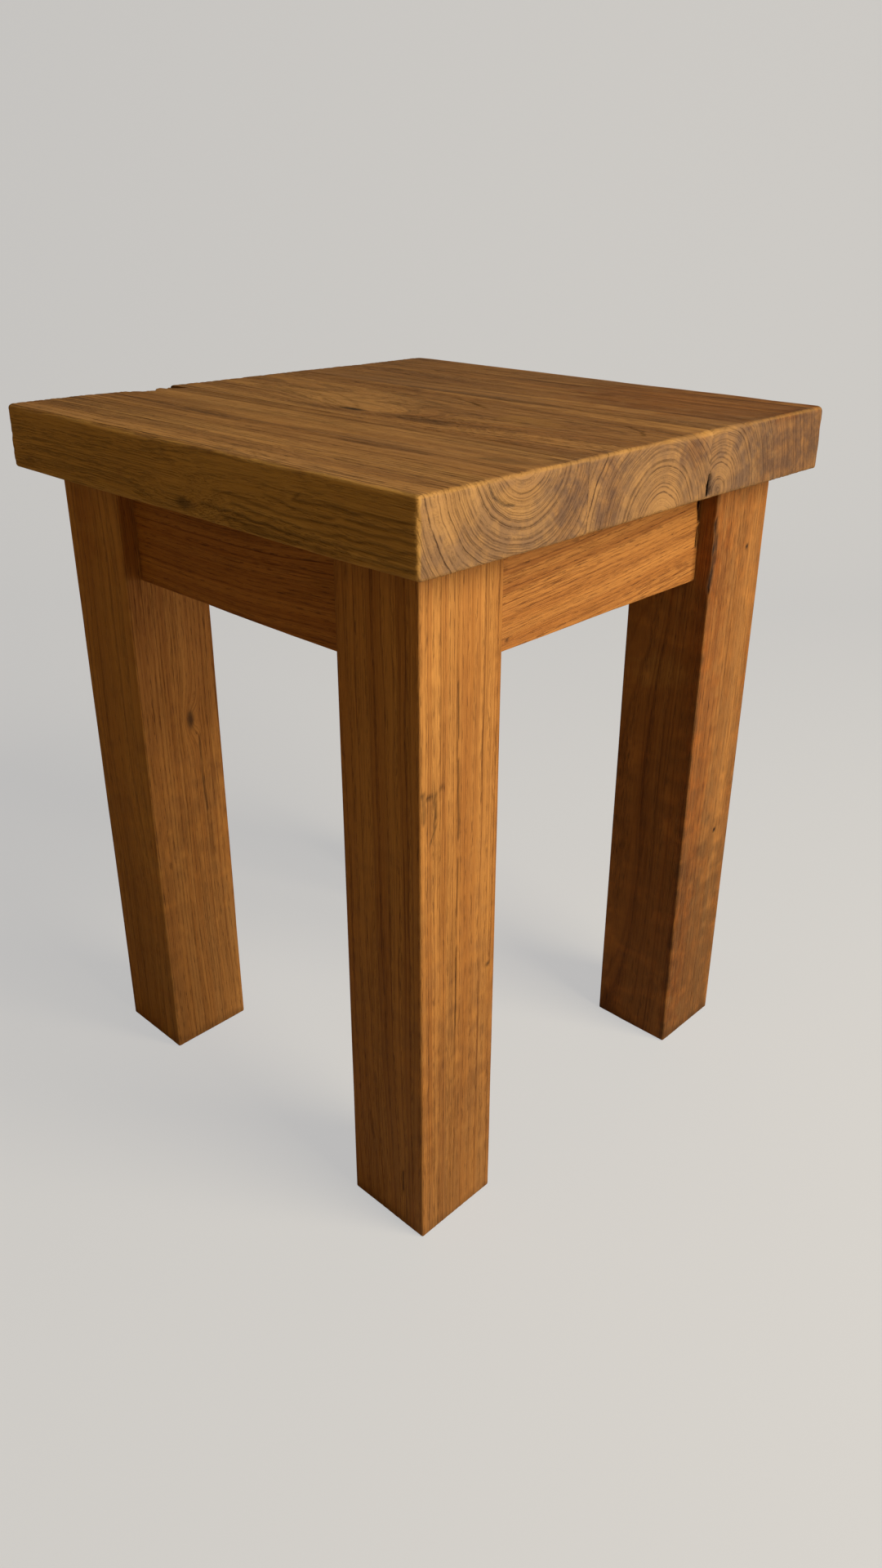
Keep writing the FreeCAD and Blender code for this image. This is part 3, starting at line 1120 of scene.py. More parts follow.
@dataclass
class Seat:
    """The seat: three boards glued edge to edge, with dowels across the joints."""

    length: float = 350.0
    depth: float = 350.0
    bottom: float = 412.0
    top: float = 450.0
    front_joint: float = -59.0
    rear_joint: float = 50.0
    grid: Place = (2.1, 1.05, 1.0)
    easing: tuple[float, float] = (3.0, 4.6)
    relief: float = 0.4
    edge_wear: float = 0.5
    groove_width: float = 0.9
    groove_blur: float = 1.3

    def blank(self, low_y: float, high_y: float) -> Blank:
        """Gives the blank of one board of the seat, eased only where it is on the outside of the seat.

        Args:
            low_y: The board's front side.
            high_y: The board's rear side.

        Returns:
            The blank.
        """
        half_x, half_y = self.length / 2, self.depth / 2
        return Blank(
            low=(-half_x, low_y, self.bottom),
            high=(half_x, high_y, self.top),
            steps=self.grid,
            easing=self.easing,
            body_low=(-half_x, -half_y, self.bottom),
            body_high=(half_x, half_y, self.top),
        )

    def grooves(
        self, lines: tuple[tuple[Place, ...], ...], depth: float, dirt: float, wander: float
    ) -> tuple[Split, ...]:
        """Makes a shallow brushed groove along each line, for the grain that bends round a knot.

        Args:
            lines: The points of each groove.
            depth: How deep they are, in millimetres.
            dirt: How dark they are.
            wander: How far they stray from their line, in millimetres.

        Returns:
            The grooves.
        """
        return tuple(Split(line, self.groove_width, depth, dirt, self.groove_blur, wander) for line in lines)

    def front_board(self) -> Board:
        """The front board: its heart lay just above the top, and a knot shows low on its front.

        Returns:
            The board.
        """
        log = Log(
            grain=Grain.ALONG_X,
            heart=(-108.0, 457.0),
            lean=(0.012, 0.004),
            ring=SEAT_TEAK.ring,
            wave=2.2,
            seed=3,
            # The second one is no branch, only grain that swells under the front.
            knots=(
                Knot((4.0, -175.0, 419.0), (0.0, -0.87, -0.48), 2.6, 7.5, 12.0, 3.0, 0.6),
                Knot((52.0, -175.0, 408.0), (0.0, -1.0, 0.0), 0.1, -8.0, 26.0, 2.6, 0.0),
            ),
        )
        end_crack = ((175, -131, 449), (175, -128, 442), (175, -120, 437), (175, -114, 436))
        splits = (Split(end_crack, 0.7, 0.8, 0.7, 1.1, 0.5),)
        splits += self.grooves(tuple(
            ((x, -175, z + 3.0), (92, -175, z - 0.5), (173, -175, z + 1.5))
            for x, z in ((36, 415.5), (20, 419.0), (44, 423.0), (30, 427.5), (70, 431.5), (98, 436.0))
        ), depth=0.35, dirt=0.42, wander=1.0)
        patches = (
            Patch((150, -94, 450), (20, 8, 4), stain_and_shade=0.35),
            # Painted light: the whole front face, which stands in shade, made paler, barer and less grey.
            Patch((0, -176, 430), (700, 3, 130), hue=-1.0, bare=0.55, weather=-0.3),
            Patch((-20, -176, 436), (46, 5, 12), bare=0.2),
            Patch((-70, -110, 452), (130, 70, 6), hue=-0.1),
            Patch((175, -70, 428), (8, 20, 28), weather=0.6, hue=0.2),
            Patch((175, -112, 438), (8, 18, 9), weather=-0.3, bare=0.15),
            Patch((175, -155, 442), (8, 16, 14), weather=-0.35, bare=0.1),
            Patch((4.0, -175.0, 418.0), (5, 4, 3), weather=0.5),
        )
        return WornBoard(
            "seat_front_board", self.blank(-self.depth / 2, self.front_joint), log, self.relief,
            self.edge_wear, splits, patches, weather=0.2, end_weather=0.45, arris_wear_and_highlight=0.35,
            worn_from=-124.0, worn_to=-66.0, worn_in=8.0,
        )

    def middle_board(self) -> Board:
        """The middle board: its heart lay just under it, so the top shows pointed arches and a small knot.

        Returns:
            The board.
        """
        log = Log(
            grain=Grain.ALONG_X,
            heart=(5.0, 413.0),
            lean=(0.0, -0.045),
            ring=SEAT_TEAK.ring,
            wave=2.4,
            seed=9,
            knots=(
                Knot((-15.0, -40.0, 450.0), (0.0, -0.6, 0.8), 2.2, 16.0, 17.0, 5.0, 1.0),
            ),
        )
        splits = (
            Split(((-5, 36, 450), (10, 31, 450), (37, 19, 450)), 0.9, 0.6, 0.8, 1.3, 0.6),
            Split(((134, 27, 450), (150, 19, 450), (158, 9, 450)), 0.8, 0.5, 0.7, 1.3, 0.4),
            Split(((175, 50.2, 425), (175, 49.6, 415)), 1.4, 3.0, 1.2, 1.4),
        )
        splits += self.grooves((
            ((-153, -10, 450), (-77, -14, 450), (-37, -30, 450), (-20, -40, 450)),
            ((-120, -3, 450), (-66, -6, 450), (-29, -25, 450), (-17, -35, 450)),
            ((-140, -17, 450), (-70, -19, 450), (-35, -35, 450), (-22, -42, 450)),
            ((-102, -23, 450), (-55, -33, 450), (-22, -46, 450)),
            ((22, -34, 450), (51, -25, 450), (80, -19, 450)),
            ((26, -41, 450), (58, -34, 450), (102, -30, 450)),
        ), depth=0.3, dirt=0.4, wander=0.8)
        patches = (
            Patch((86, 2, 450), (26, 16, 4), bare=0.35),
            Patch((175, 3, 414), (8, 22, 17), weather=-0.4, hue=-0.08),
            Patch((140, -10, 452), (60, 60, 6), hue=0.12),
            Patch((-90, -30, 452), (110, 70, 6), hue=-0.12),
            Patch((175, -42, 430), (8, 12, 30), weather=0.5, hue=0.2),
            Patch((175, 34, 442), (8, 16, 12), weather=0.5, hue=0.3),
            Patch((38, -38, 450), (30, 9, 4), stain_and_shade=0.3),
        )
        return WornBoard(
            "seat_middle_board", self.blank(self.front_joint, self.rear_joint), log, self.relief,
            self.edge_wear, splits, patches, hue=0.06, weather=0.2, end_weather=0.5, arris_wear_and_highlight=0.35,
        )

    def rear_board(self) -> Board:
        """The rear board: its heart lay beside the joint, so its rings stand almost upright at the far side.

        Returns:
            The board.
        """
        log = Log(
            grain=Grain.ALONG_X,
            heart=(57.0, 415.0),
            lean=(0.02, 0.0),
            ring=SEAT_TEAK.ring,
            wave=2.6,
            seed=14,
            knots=(
                Knot((-132.0, 109.0, 450.0), (0.0, 0.7, 0.7), 1.9, 12.0, 15.0, 4.0, 0.45),
            ),
        )
        splits = (
            Split(((175, 50.2, 425), (175, 51.2, 415)), 2.2, 4.0, 1.4, 2.2),
        )
        patches = (
            Patch((178, 150, 430), (14, 60, 40), hue=0.3),
            Patch((120, 130, 452), (120, 70, 8), hue=0.45),
            Patch((175, 62, 425), (8, 14, 16), weather=-0.4, hue=-0.1),
            Patch((175, 140, 430), (10, 56, 40), weather=0.5, stain_and_shade=0.1),
        )
        return WornBoard(
            "seat_rear_board", self.blank(self.rear_joint, self.depth / 2), log, self.relief, self.edge_wear,
            splits, patches, hue=0.1, weather=0.4, end_weather=0.6, arris_wear_and_highlight=0.25,
        )

    def build(self, teak: Material) -> list[tuple[Piece, str]]:
        """Makes the three boards and pairs each with the node that it stands for.

        Args:
            teak: The finish they are given.

        Returns:
            Each piece and the node that it stands for.
        """
        made = (
            (self.front_board(), "seat_board_front"),
            (self.middle_board(), "seat_board_middle"),
            (self.rear_board(), "seat_board_rear"),
        )
        return [(board.build(teak), node) for board, node in made]


# ---- the frame ----------------------------------------------------------------------------------------


@dataclass
class Legs:
    """The four square legs, each sawn from a different part of a log."""

    side: float = 59.0
    height: float = 412.0
    outside: float = 155.0
    grid: Place = (1.25, 1.25, 2.6)
    easing: tuple[float, float] = (1.6, 1.5)
    relief: float = 0.16
    edge_wear: float = 0.15
    weather: float = 0.1
    # How far up from the floor every leg grows darker, redder and greyer: painted shade.
    foot: float = 250.0
    # The band at the floor that is darker still: partly dirt, partly painted shade.
    floor_dirt_and_shade: float = 7.0

    def leg(
        self,
        name: str,
        sign_x: int,
        sign_y: int,
        log: Log,
        splits: tuple[Split, ...] = (),
        patches: tuple[Patch, ...] = (),
        hue: float = 0.0,
        extra: tuple[tuple[int, float], ...] = (),
    ) -> Board:
        """Describes one leg, at the corner that the two signs name.

        Args:
            name: The piece's name.
            sign_x: 1 for the right side, -1 for the left.
            sign_y: 1 for the rear, -1 for the front.
            log: Where it was sawn.
            splits: Its cracks and cuts.
            patches: Its stained, bare and weathered areas, and its painted shade and light.
            hue: How much redder it is than the others.
            extra: Fine lines along which its grid closes up.

        Returns:
            The leg.
        """
        inside = self.outside - self.side
        xs = sorted((sign_x * self.outside, sign_x * inside))
        ys = sorted((sign_y * self.outside, sign_y * inside))
        blank = Blank((xs[0], ys[0], 0.0), (xs[1], ys[1], self.height), self.grid, self.easing, extra=extra)
        # Painted shade on every leg: darker, redder and greyer towards the floor, and darker still in a band
        # at the floor, which is partly dirt.
        patches += (
            Patch((0, 0, 0), (900, 900, self.foot), hue=0.12, stain_and_shade=0.05, weather=0.3),
            Patch((0, 0, 0), (900, 900, self.floor_dirt_and_shade), stain_and_shade=0.2),
        )
        return Board(name, blank, log, self.relief, self.edge_wear, splits, patches, hue, self.weather)

    def front_right(self) -> Board:
        """The nearest leg: straight grain, a rough bruise on its right face and a long hairline split.

        Returns:
            The leg.
        """
        log = Log(Grain.ALONG_Z, (60.0, -20.0), (0.004, 0.006), FRAME_TEAK.ring, 1.6, 21)
        splits = (
            Split(((155, -128, 348), (155, -127.6, 318)), 0.6, 0.4, 0.55, 0.9, 0.3),
            Split(((155, -127.6, 306), (155, -127.2, 262)), 0.7, 0.5, 0.65, 1.0, 0.3),
            Split(((155, -127.4, 250), (155, -128, 214)), 0.6, 0.4, 0.5, 0.9, 0.3),
            Split(((155, -127.8, 196), (155, -128.2, 142)), 0.6, 0.4, 0.5, 0.9, 0.3),
            Split(((155, -153, 296), (155, -149, 293.5), (155, -145, 295)), 1.2, 0.5, 0.6, 1.6, 1.1),
            Split(((155, -144, 293), (155, -138, 296.5)), 1.0, 0.4, 0.5, 1.4, 1.1),
            Split(((155, -153, 295), (155, -152.5, 280)), 0.8, 0.5, 0.7, 1.1, 0.2),
            Split(((155, -144.5, 293), (155, -143.5, 279)), 0.8, 0.4, 0.6, 1.0, 0.5),
            Split(((155, -143.5, 276), (155, -145.5, 270), (155, -147.5, 267)), 0.9, 0.5, 0.7, 1.1, 0.5, 0.2),
            Split(((139, -155, 42), (139, -155, 26)), 0.9, 0.4, 0.7, 1.3, 0.2),
        )
        patches = (
            Patch((155, -148, 288), (6, 8, 14), stain_and_shade=0.22),
            Patch((155, -102, 171), (4, 1.8, 2.2), stain_and_shade=0.7),
            # Painted shade: the front face darkened where the seat shades it.
            Patch((125, -157, 206), (60, 5, 400), hue=-0.06, stain_and_shade=0.1),
            # Painted shade: the outer face darker towards the floor.
            Patch((157, -125, 20), (8, 60, 150), hue=0.12, stain_and_shade=0.13, weather=0.2),
            # Painted shade: the rest of the outer face toned down.
            Patch((157, -125, 200), (8, 60, 180), hue=0.12, stain_and_shade=0.07),
        )
        return self.leg("leg_front_right_teak", 1, -1, log, splits, patches, extra=((1, -128.0),))

    def front_left(self) -> Board:
        """The left leg: a small knot and wavy figure on its right face.

        Returns:
            The leg.
        """
        log = Log(
            Grain.ALONG_Z, (-70.0, -30.0), (0.01, -0.01), FRAME_TEAK.ring, 2.4, 33,
            knots=(Knot((-96.0, -119.0, 250.0), (1.0, 0.1, 0.0), 2.6, 6.0, 6.0, 2.6),),
        )
        splits = (
            Split(((-96, -113, 237), (-96, -114, 210), (-96, -112, 180)), 0.9, 0.5, 0.7, 1.2, 0.6),
        )
        patches = (
            # Painted shade: the inner face darker towards the floor.
            Patch((-94, -125, 60), (6, 60, 160), stain_and_shade=0.2),
            Patch((-94, -100, 250), (6, 14, 160), hue=0.15),
            # Painted light: the front face made paler.
            Patch((-125, -157, 206), (60, 5, 400), hue=-0.25),
        )
        return self.leg("leg_front_left_teak", -1, -1, log, splits, patches)

    def rear_right(self) -> Board:
        """The right leg: redder beside its front arris, where it has begun to split, and paler outside. Its
        front face and its outer face carry painted shade, the outer face most towards the floor.

        Returns:
            The leg.
        """
        log = Log(Grain.ALONG_Z, (95.0, 20.0), (0.02, 0.01), FRAME_TEAK.ring, 2.0, 47)
        splits = (
            Split(((155, 97.0, 388), (155, 98.0, 366), (155, 96.5, 346)), 1.8, 1.6, 1.0, 2.2, 0.9),
            Split(((155, 99.5, 380), (155, 100.5, 362)), 0.8, 0.6, 0.8, 1.2, 0.6),
        )
        patches = (
            Patch((155, 104, 200), (8, 20, 240), hue=0.3),
            # Painted shade on the front face, which stands in shade.
            Patch((125, 94, 206), (60, 5, 400), hue=-0.1, stain_and_shade=0.34),
            Patch((125, 96, 285), (22, 5, 16), hue=-0.35),
            Patch((155, 140, 260), (8, 16, 160), bare=0.15),
            # The outer face: greyer and paler wood, with painted shade that tones the lit face down.
            Patch((158, 125, 200), (8, 60, 420), stain_and_shade=0.2, weather=0.4, hue=-0.1),
            # Painted shade on the outer face, darker towards the floor.
            Patch((158, 125, 20), (8, 60, 180), stain_and_shade=0.22, weather=0.3),
            Patch((155, 136, 365), (3, 1.7, 2.0), stain_and_shade=0.9),
            Patch((155, 136, 163), (3, 1.7, 2.0), stain_and_shade=0.9),
        )
        return self.leg("leg_rear_right_teak", 1, 1, log, splits, patches, hue=0.4)

    def rear_left(self) -> Board:
        """The far leg, plain and straight-grained."""
        log = Log(Grain.ALONG_Z, (-60.0, 35.0), (-0.006, 0.008), FRAME_TEAK.ring, 2.0, 58)
        return self.leg("leg_rear_left_teak", -1, 1, log, hue=0.05)

    def build(self, teak: Material) -> list[tuple[Piece, str]]:
        """Makes the four legs and pairs each with the node that it stands for.

        Args:
            teak: The finish they are given.

        Returns:
            Each piece and the node that it stands for.
        """
        made = (
            (self.front_right(), "leg_front_right"),
            (self.front_left(), "leg_front_left"),
            (self.rear_right(), "leg_rear_right"),
            (self.rear_left(), "leg_rear_left"),
        )
        return [(leg.build(teak), node) for leg, node in made]


@dataclass
class Aprons:
    """The four aprons, each as long as the gap between two legs."""

    half_length: float = 96.0
    outside: float = 144.0
    thickness: float = 25.0
    bottom: float = 350.0
    top: float = 412.0
    grid_along: float = 2.4
    grid_across: float = 1.2
    easing: tuple[float, float] = (1.5, 0.35)
    relief: float = 0.14
    edge_wear: float = 0.5
    weather: float = 0.08

    def apron(
        self,
        name: str,
        grain: Grain,
        sign: int,
        log: Log,
        splits: tuple[Split, ...] = (),
        patches: tuple[Patch, ...] = (),
        hue: float = 0.0,
    ) -> Board:
        """Describes one apron, along X or Y, on the side that the sign names.

        Args:
            name: The piece's name.
            grain: The way it runs.
            sign: 1 for the rear or the right, -1 for the front or the left.
            log: Where it was sawn.
            splits: Its cracks and cuts.
            patches: Its stained, bare and weathered areas.
            hue: How much redder it is than the others.

        Returns:
            The apron.
        """
        near, far = sorted((sign * self.outside, sign * (self.outside - self.thickness)))
        low = [-self.half_length, near, self.bottom]
        high = [self.half_length, far, self.top]
        steps = [self.grid_along, self.grid_across, self.grid_across]
        if grain is Grain.ALONG_Y:
            low[0], low[1] = low[1], low[0]
            high[0], high[1] = high[1], high[0]
            steps[0], steps[1] = steps[1], steps[0]
        blank = Blank(tuple(low), tuple(high), tuple(steps), self.easing)
        return Board(name, blank, log, self.relief, self.edge_wear, splits, patches, hue, self.weather)

    def boards(self) -> tuple[tuple[Board, str], ...]:
        """Describes all four aprons, each with the node that it stands for.

        Returns:
            Each apron and the name of its node.
        """
        ring = FRAME_TEAK.ring
        torn = (
            Split(((144, 95.5, 410), (144, 93.6, 401), (144, 95, 389)), 3.0, 2.4, 0.85, 3.6, 1.2),
            Split(((144, 95.8, 384), (144, 94.6, 372)), 1.8, 1.4, 0.6, 2.2, 0.8),
        )
        specks = (
            Patch((144, -80, 356), (2, 1.4, 1.2), stain_and_shade=0.8),
            Patch((144, -40, 386), (2, 2.4, 0.9), stain_and_shade=0.4),
            Patch((144, 22, 371), (2, 3.0, 0.8), stain_and_shade=0.4),
        )
        plain = ((), ())
        marked = (torn, specks)
        return tuple(
            (self.apron(
                f"{node}_teak", grain, sign, Log(grain, heart, lean, ring, wave, seed), *marks, hue
            ), node)
            for node, grain, sign, heart, lean, wave, seed, marks, hue in (
                ("apron_front", Grain.ALONG_X, -1, (-112.0, 300.0), (0.03, 0.04), 3.2, 61, plain, 0.3),
                ("apron_right", Grain.ALONG_Y, 1, (120.0, 240.0), (0.02, 0.07), 1.6, 67, marked, 0.25),
                ("apron_rear", Grain.ALONG_X, 1, (190.0, 330.0), (0.01, -0.03), 2.2, 71, plain, 0.1),
                ("apron_left", Grain.ALONG_Y, -1, (-60.0, 350.0), (0.02, 0.03), 2.2, 77, plain, 0.05),
            )
        )

    def build(self, teak: Material) -> list[tuple[Piece, str]]:
        """Makes the four aprons and pairs each with the node that it stands for."""
        return [(board.build(teak), node) for board, node in self.boards()]


# ---- blocks, screws and dowels ------------------------------------------------------------------------


@dataclass
class CornerBlocks:
    """The four sawn blocks that brace the corners from inside."""

    nodes: tuple[str, ...] = (
        "corner_block_front_left",
        "corner_block_front_right",
        "corner_block_rear_left",
        "corner_block_rear_right",
    )

    def dress(self, teak: Material) -> None:
        """Gives each block its sawn finish.

        Args:
            teak: The finish.
        """
        for name in self.nodes:
            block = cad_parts[name]
            block.data.materials.clear()
            block.data.materials.append(teak)
            LOG.info("%s: sawn finish", name)


class Fasteners:
    """Screws and dowels, each made once by a node tree and set at every place that needs one."""

    def tree(self, name: str, sizes: dict[str, float]) -> Tree:
        """Starts a geometry node tree with named inputs.

        Args:
            name: What the tree makes.
            sizes: Input name to its usual value, in metres.

        Returns:
            The tree, with its inputs and one output.
        """
        tree = bpy.data.node_groups.new(name, "GeometryNodeTree")
        tree.interface.new_socket("Geometry", in_out="INPUT", socket_type="NodeSocketGeometry")
        for label, value in sizes.items():
            socket = tree.interface.new_socket(label, in_out="INPUT", socket_type="NodeSocketFloat")
            socket.default_value = value
        tree.interface.new_socket("Finish", in_out="INPUT", socket_type="NodeSocketMaterial")
        tree.interface.new_socket("Geometry", in_out="OUTPUT", socket_type="NodeSocketGeometry")
        return tree

    def lifted(self, tree: Tree, shape: Node, height: Socket | Node) -> Node:
        """Moves a shape up by a height and returns it."""
        place = add_node(tree, COMBINE, {"Z": height})
        return add_node(tree, "GeometryNodeTransform", {"Geometry": shape, "Translation": place})

    def finish_tree(self, tree: Tree, start: Node, one: Node) -> Tree:
        """Sets the fastener at every point, turned to its aim, and makes the result real.

        Args:
            tree: The tree so far.
            start: The tree's inputs.
            one: What makes one fastener.

        Returns:
            The finished tree.
        """
        aim = add_node(tree, "GeometryNodeInputNamedAttribute", {"Name": "aim"}, data_type="FLOAT_VECTOR")
        sockets = {"Vector": aim.outputs["Attribute"]}
        turn = add_node(tree, "FunctionNodeAlignRotationToVector", sockets, axis="Z")
        placed = add_node(tree, "GeometryNodeInstanceOnPoints", {
            "Points": start.outputs["Geometry"],
            "Instance": one,
            "Rotation": turn.outputs["Rotation"],
        })
        real = add_node(tree, "GeometryNodeRealizeInstances", {"Geometry": placed.outputs["Instances"]})
        dressed = add_node(tree, "GeometryNodeSetMaterial", {
            "Geometry": real.outputs["Geometry"],
            "Material": start.outputs["Finish"],
        })
        add_node(tree, "NodeGroupOutput", {"Geometry": dressed.outputs["Geometry"]})
        return tree

    def set_at(
        self,
        name: str,
        tree: Tree,
        sizes: dict[str, float],
        places: list[tuple[Vector, Vector]],
        finish: Material,
    ) -> Piece:
        """Runs a tree over the places and keeps the result as a plain mesh.

        Args:
            name: The piece's name.
            tree: The tree that makes one fastener and sets it at each point.
            sizes: Input name to its value for this piece, in metres.
            places: Where each fastener starts, and which way it points.
            finish: The piece's material.

        Returns:
            The new object, at the origin.
        """
        mesh = bpy.data.meshes.new(name + "_places")
        mesh.from_pydata([tuple(point) for point, _ in places], [], [])
        aim = mesh.attributes.new("aim", "FLOAT_VECTOR", "POINT")
        for number, (_, direction) in enumerate(places):
            aim.data[number].vector = direction
        source = bpy.data.objects.new(name + "_places", mesh)
        bpy.context.scene.collection.objects.link(source)
        modifier = source.modifiers.new("made", "NODES")
        modifier.node_group = tree
        values = {**sizes, "Finish": finish}
        for item in tree.interface.items_tree:
            if item.in_out == "INPUT" and item.name in values:
                modifier[item.identifier] = values[item.name]
        graph = bpy.context.evaluated_depsgraph_get()
        made = bpy.data.meshes.new_from_object(source.evaluated_get(graph), depsgraph=graph)
        source.modifiers.remove(modifier)
        bpy.data.objects.remove(source)
        made.name = name
        piece = bpy.data.objects.new(name, made)
        bpy.context.scene.collection.objects.link(piece)
        LOG.info("%s: %d faces", name, len(made.polygons))
        return piece


@dataclass
class WoodScrews(Fasteners):
    """Countersunk wood screws with a cross recess and a real thread.

    The ratios are shares of the diameter, apart from head_ratio, which compares the head with the shank, and
    end_ratio, which compares the thread's last turn with the core. The recess is sized by the head's radius,
    and thread_start is a share of the length.
    """

    sides: int = 40
    core_ratio: float = 0.34
    tip_ratio: float = 1.5
    head_ratio: float = 2.0
    recess_share: float = 0.55
    recess_width: float = 0.28
    recess_depth: float = 0.4
    pitch_ratio: float = 0.42
    ridge_ratio: float = 0.11
    end_ratio: float = 0.75
    thread_start: float = 0.3
    turn_steps: int = 20

    def screw_tree(self) -> Tree:
        """Builds the tree that makes one screw along +Z, head down at its point.

        Returns:
            The tree.
        """
        tree = self.tree("wood_screw", {"Diameter": 0.004, "Length": 0.03})
        node = partial(add_node, tree)
        start = node("NodeGroupInput")
        diameter, length = start.outputs["Diameter"], start.outputs["Length"]
        radius = node(MATH, {0: diameter, 1: 0.5}, operation="MULTIPLY")
        core = node(MATH, {0: diameter, 1: self.core_ratio}, operation="MULTIPLY")
        head_radius = node(MATH, {0: radius, 1: self.head_ratio}, operation="MULTIPLY")
        head_height = node(MATH, {0: head_radius, 1: radius}, operation="SUBTRACT")
        tip = node(MATH, {0: diameter, 1: self.tip_ratio}, operation="MULTIPLY")
        to_tip = node(MATH, {0: length, 1: tip}, operation="SUBTRACT")
        shank_length = node(MATH, {0: to_tip, 1: head_height}, operation="SUBTRACT")
        head, shank, point = (
            node("GeometryNodeMeshCone", {
                "Vertices": self.sides,
                "Side Segments": rows,
                "Fill Segments": fills,
                "Radius Top": top,
                "Radius Bottom": bottom,
                "Depth": depth,
            })
            for rows, fills, top, bottom, depth in (
                (3, 3, radius, head_radius, head_height),
                (6, 1, core, radius, shank_length),
                (3, 1, 0.0, core, tip),
            )
        )
        parts = (
            self.thread(tree, diameter, length, core, tip),
            self.lifted(tree, point, to_tip),
            self.lifted(tree, shank, head_height),
            self.recessed(tree, head, head_radius),
        )
        joined = node("GeometryNodeJoinGeometry")
        # The socket takes many links, which add_node gives only one each.
        for part in parts:
            tree.links.new(part.outputs[0], joined.inputs["Geometry"])
        return self.finish_tree(tree, start, joined)

    def thread(self, tree: Tree, diameter: Socket, length: Socket, core: Node, tip: Node) -> Node:
        """Winds the thread round the shank and returns it.

        Args:
            tree: The screw's tree.
            diameter: The screw's diameter.
            length: Its length with the head.
            core: The shank's radius inside the thread.
            tip: The length of the point.

        Returns:
            The thread.
        """
        node = partial(add_node, tree)
        run = node(MATH, {0: length, 1: 1 - self.thread_start}, operation="MULTIPLY")
        half_tip = node(MATH, {0: tip, 1: 0.5}, operation="MULTIPLY")
        run = node(MATH, {0: run, 1: half_tip}, operation="SUBTRACT")
        pitch = node(MATH, {0: diameter, 1: self.pitch_ratio}, operation="MULTIPLY")
        ridge = node(MATH, {0: diameter, 1: self.ridge_ratio}, operation="MULTIPLY")
        radius = node(MATH, {0: diameter, 1: 0.5}, operation="MULTIPLY")
        spiral = node("GeometryNodeCurveSpiral", {
            "Resolution": self.turn_steps,
            "Rotations": node(MATH, {0: run, 1: pitch}, operation="DIVIDE"),
            "Start Radius": node(MATH, {0: radius, 1: ridge}, operation="SUBTRACT"),
            "End Radius": node(MATH, {0: core, 1: self.end_ratio}, operation="MULTIPLY"),
            "Height": run,
        })
        profile = node("GeometryNodeCurvePrimitiveCircle", {"Resolution": 6, "Radius": ridge})
        sockets = {"Curve": spiral, "Profile Curve": profile, "Fill Caps": True}
        wound = node("GeometryNodeCurveToMesh", sockets)
        return self.lifted(tree, wound, node(MATH, {0: length, 1: self.thread_start}, operation="MULTIPLY"))

    def recessed(self, tree: Tree, head: Node, head_radius: Node) -> Node:
        """Cuts the cross recess into the head and returns the head.

        Args:
            tree: The screw's tree.
            head: The whole head.
            head_radius: Its radius.

        Returns:
            The cut head.
        """
        node = partial(add_node, tree)
        arm, width, depth = (
            node(MATH, {0: head_radius, 1: share}, operation="MULTIPLY")
            for share in (2 * self.recess_share, self.recess_width, 2 * self.recess_depth)
        )
        cut = head
        for across, along in ((arm, width), (width, arm)):
            size = node(COMBINE, {"X": across, "Y": along, "Z": depth})
            cutter = node("GeometryNodeMeshCube", {"Size": size})
            sockets = {"Mesh 1": cut, "Mesh 2": cutter}
            cut = node("GeometryNodeMeshBoolean", sockets, operation="DIFFERENCE", solver="EXACT")
        return cut


@dataclass
class Dowels(Fasteners):
    """Beech dowels across the seat's glue joints, fluted along their length to let the glue out.

    flute_depth and chamfer are in millimetres. A higher flute_narrowness makes the flutes narrower.
    """

    flutes: int = 16
    flute_depth: float = 0.35
    flute_narrowness: float = 4.0
    chamfer: float = 1.0

    def dowel_tree(self) -> Tree:
        """Builds the tree that makes one dowel along +Z, starting at its point.

        Returns:
            The tree.
        """
        tree = self.tree("fluted_dowel", {"Diameter": 0.008, "Length": 0.04, "Flute Depth": 0.00035})
        node = partial(add_node, tree)
        start = node("NodeGroupInput")
        half = node(MATH, {0: start.outputs["Length"], 1: 0.5}, operation="MULTIPLY")
        rod = node("GeometryNodeMeshCylinder", {
            "Vertices": 6 * self.flutes,
            "Side Segments": 40,
            "Fill Segments": 1,
            "Radius": node(MATH, {0: start.outputs["Diameter"], 1: 0.5}, operation="MULTIPLY"),
            "Depth": start.outputs["Length"],
        })
        x, y, z = node("ShaderNodeSeparateXYZ", {"Vector": node("GeometryNodeInputPosition")}).outputs
        angle = node(MATH, {0: y, 1: x}, operation="ARCTAN2")
        turns = node(MATH, {0: angle, 1: float(self.flutes)}, operation="MULTIPLY")
        wave = node(MATH, {0: turns}, operation="COSINE")
        wave = node(MATH, {0: wave, 1: 0.5, 2: 0.5}, operation="MULTIPLY_ADD")
        groove = node(MATH, {0: wave, 1: self.flute_narrowness}, operation="POWER")
        cut = node(MATH, {0: groove, 1: start.outputs["Flute Depth"]}, operation="MULTIPLY")
        from_middle = node(MATH, {0: z}, operation="ABSOLUTE")
        from_end = node(MATH, {0: half, 1: from_middle}, operation="SUBTRACT")
        taper = node(MATH, {0: self.chamfer * MM, 1: from_end}, operation="SUBTRACT")
        taper = node(MATH, {0: taper, 1: 0.0}, operation="MAXIMUM")
        inward = node(MATH, {0: cut, 1: taper}, operation="ADD")
        outward = node(VECTOR_MATH, {0: node(COMBINE, {"X": x, "Y": y})}, operation="NORMALIZE")
        back = node(MATH, {0: inward, 1: -1.0}, operation="MULTIPLY")
        shift = node(VECTOR_MATH, {0: outward, "Scale": back}, operation="SCALE")
        shaped = node("GeometryNodeSetPosition", {"Geometry": rod, "Offset": shift})
        return self.finish_tree(tree, start, self.lifted(tree, shaped, half))


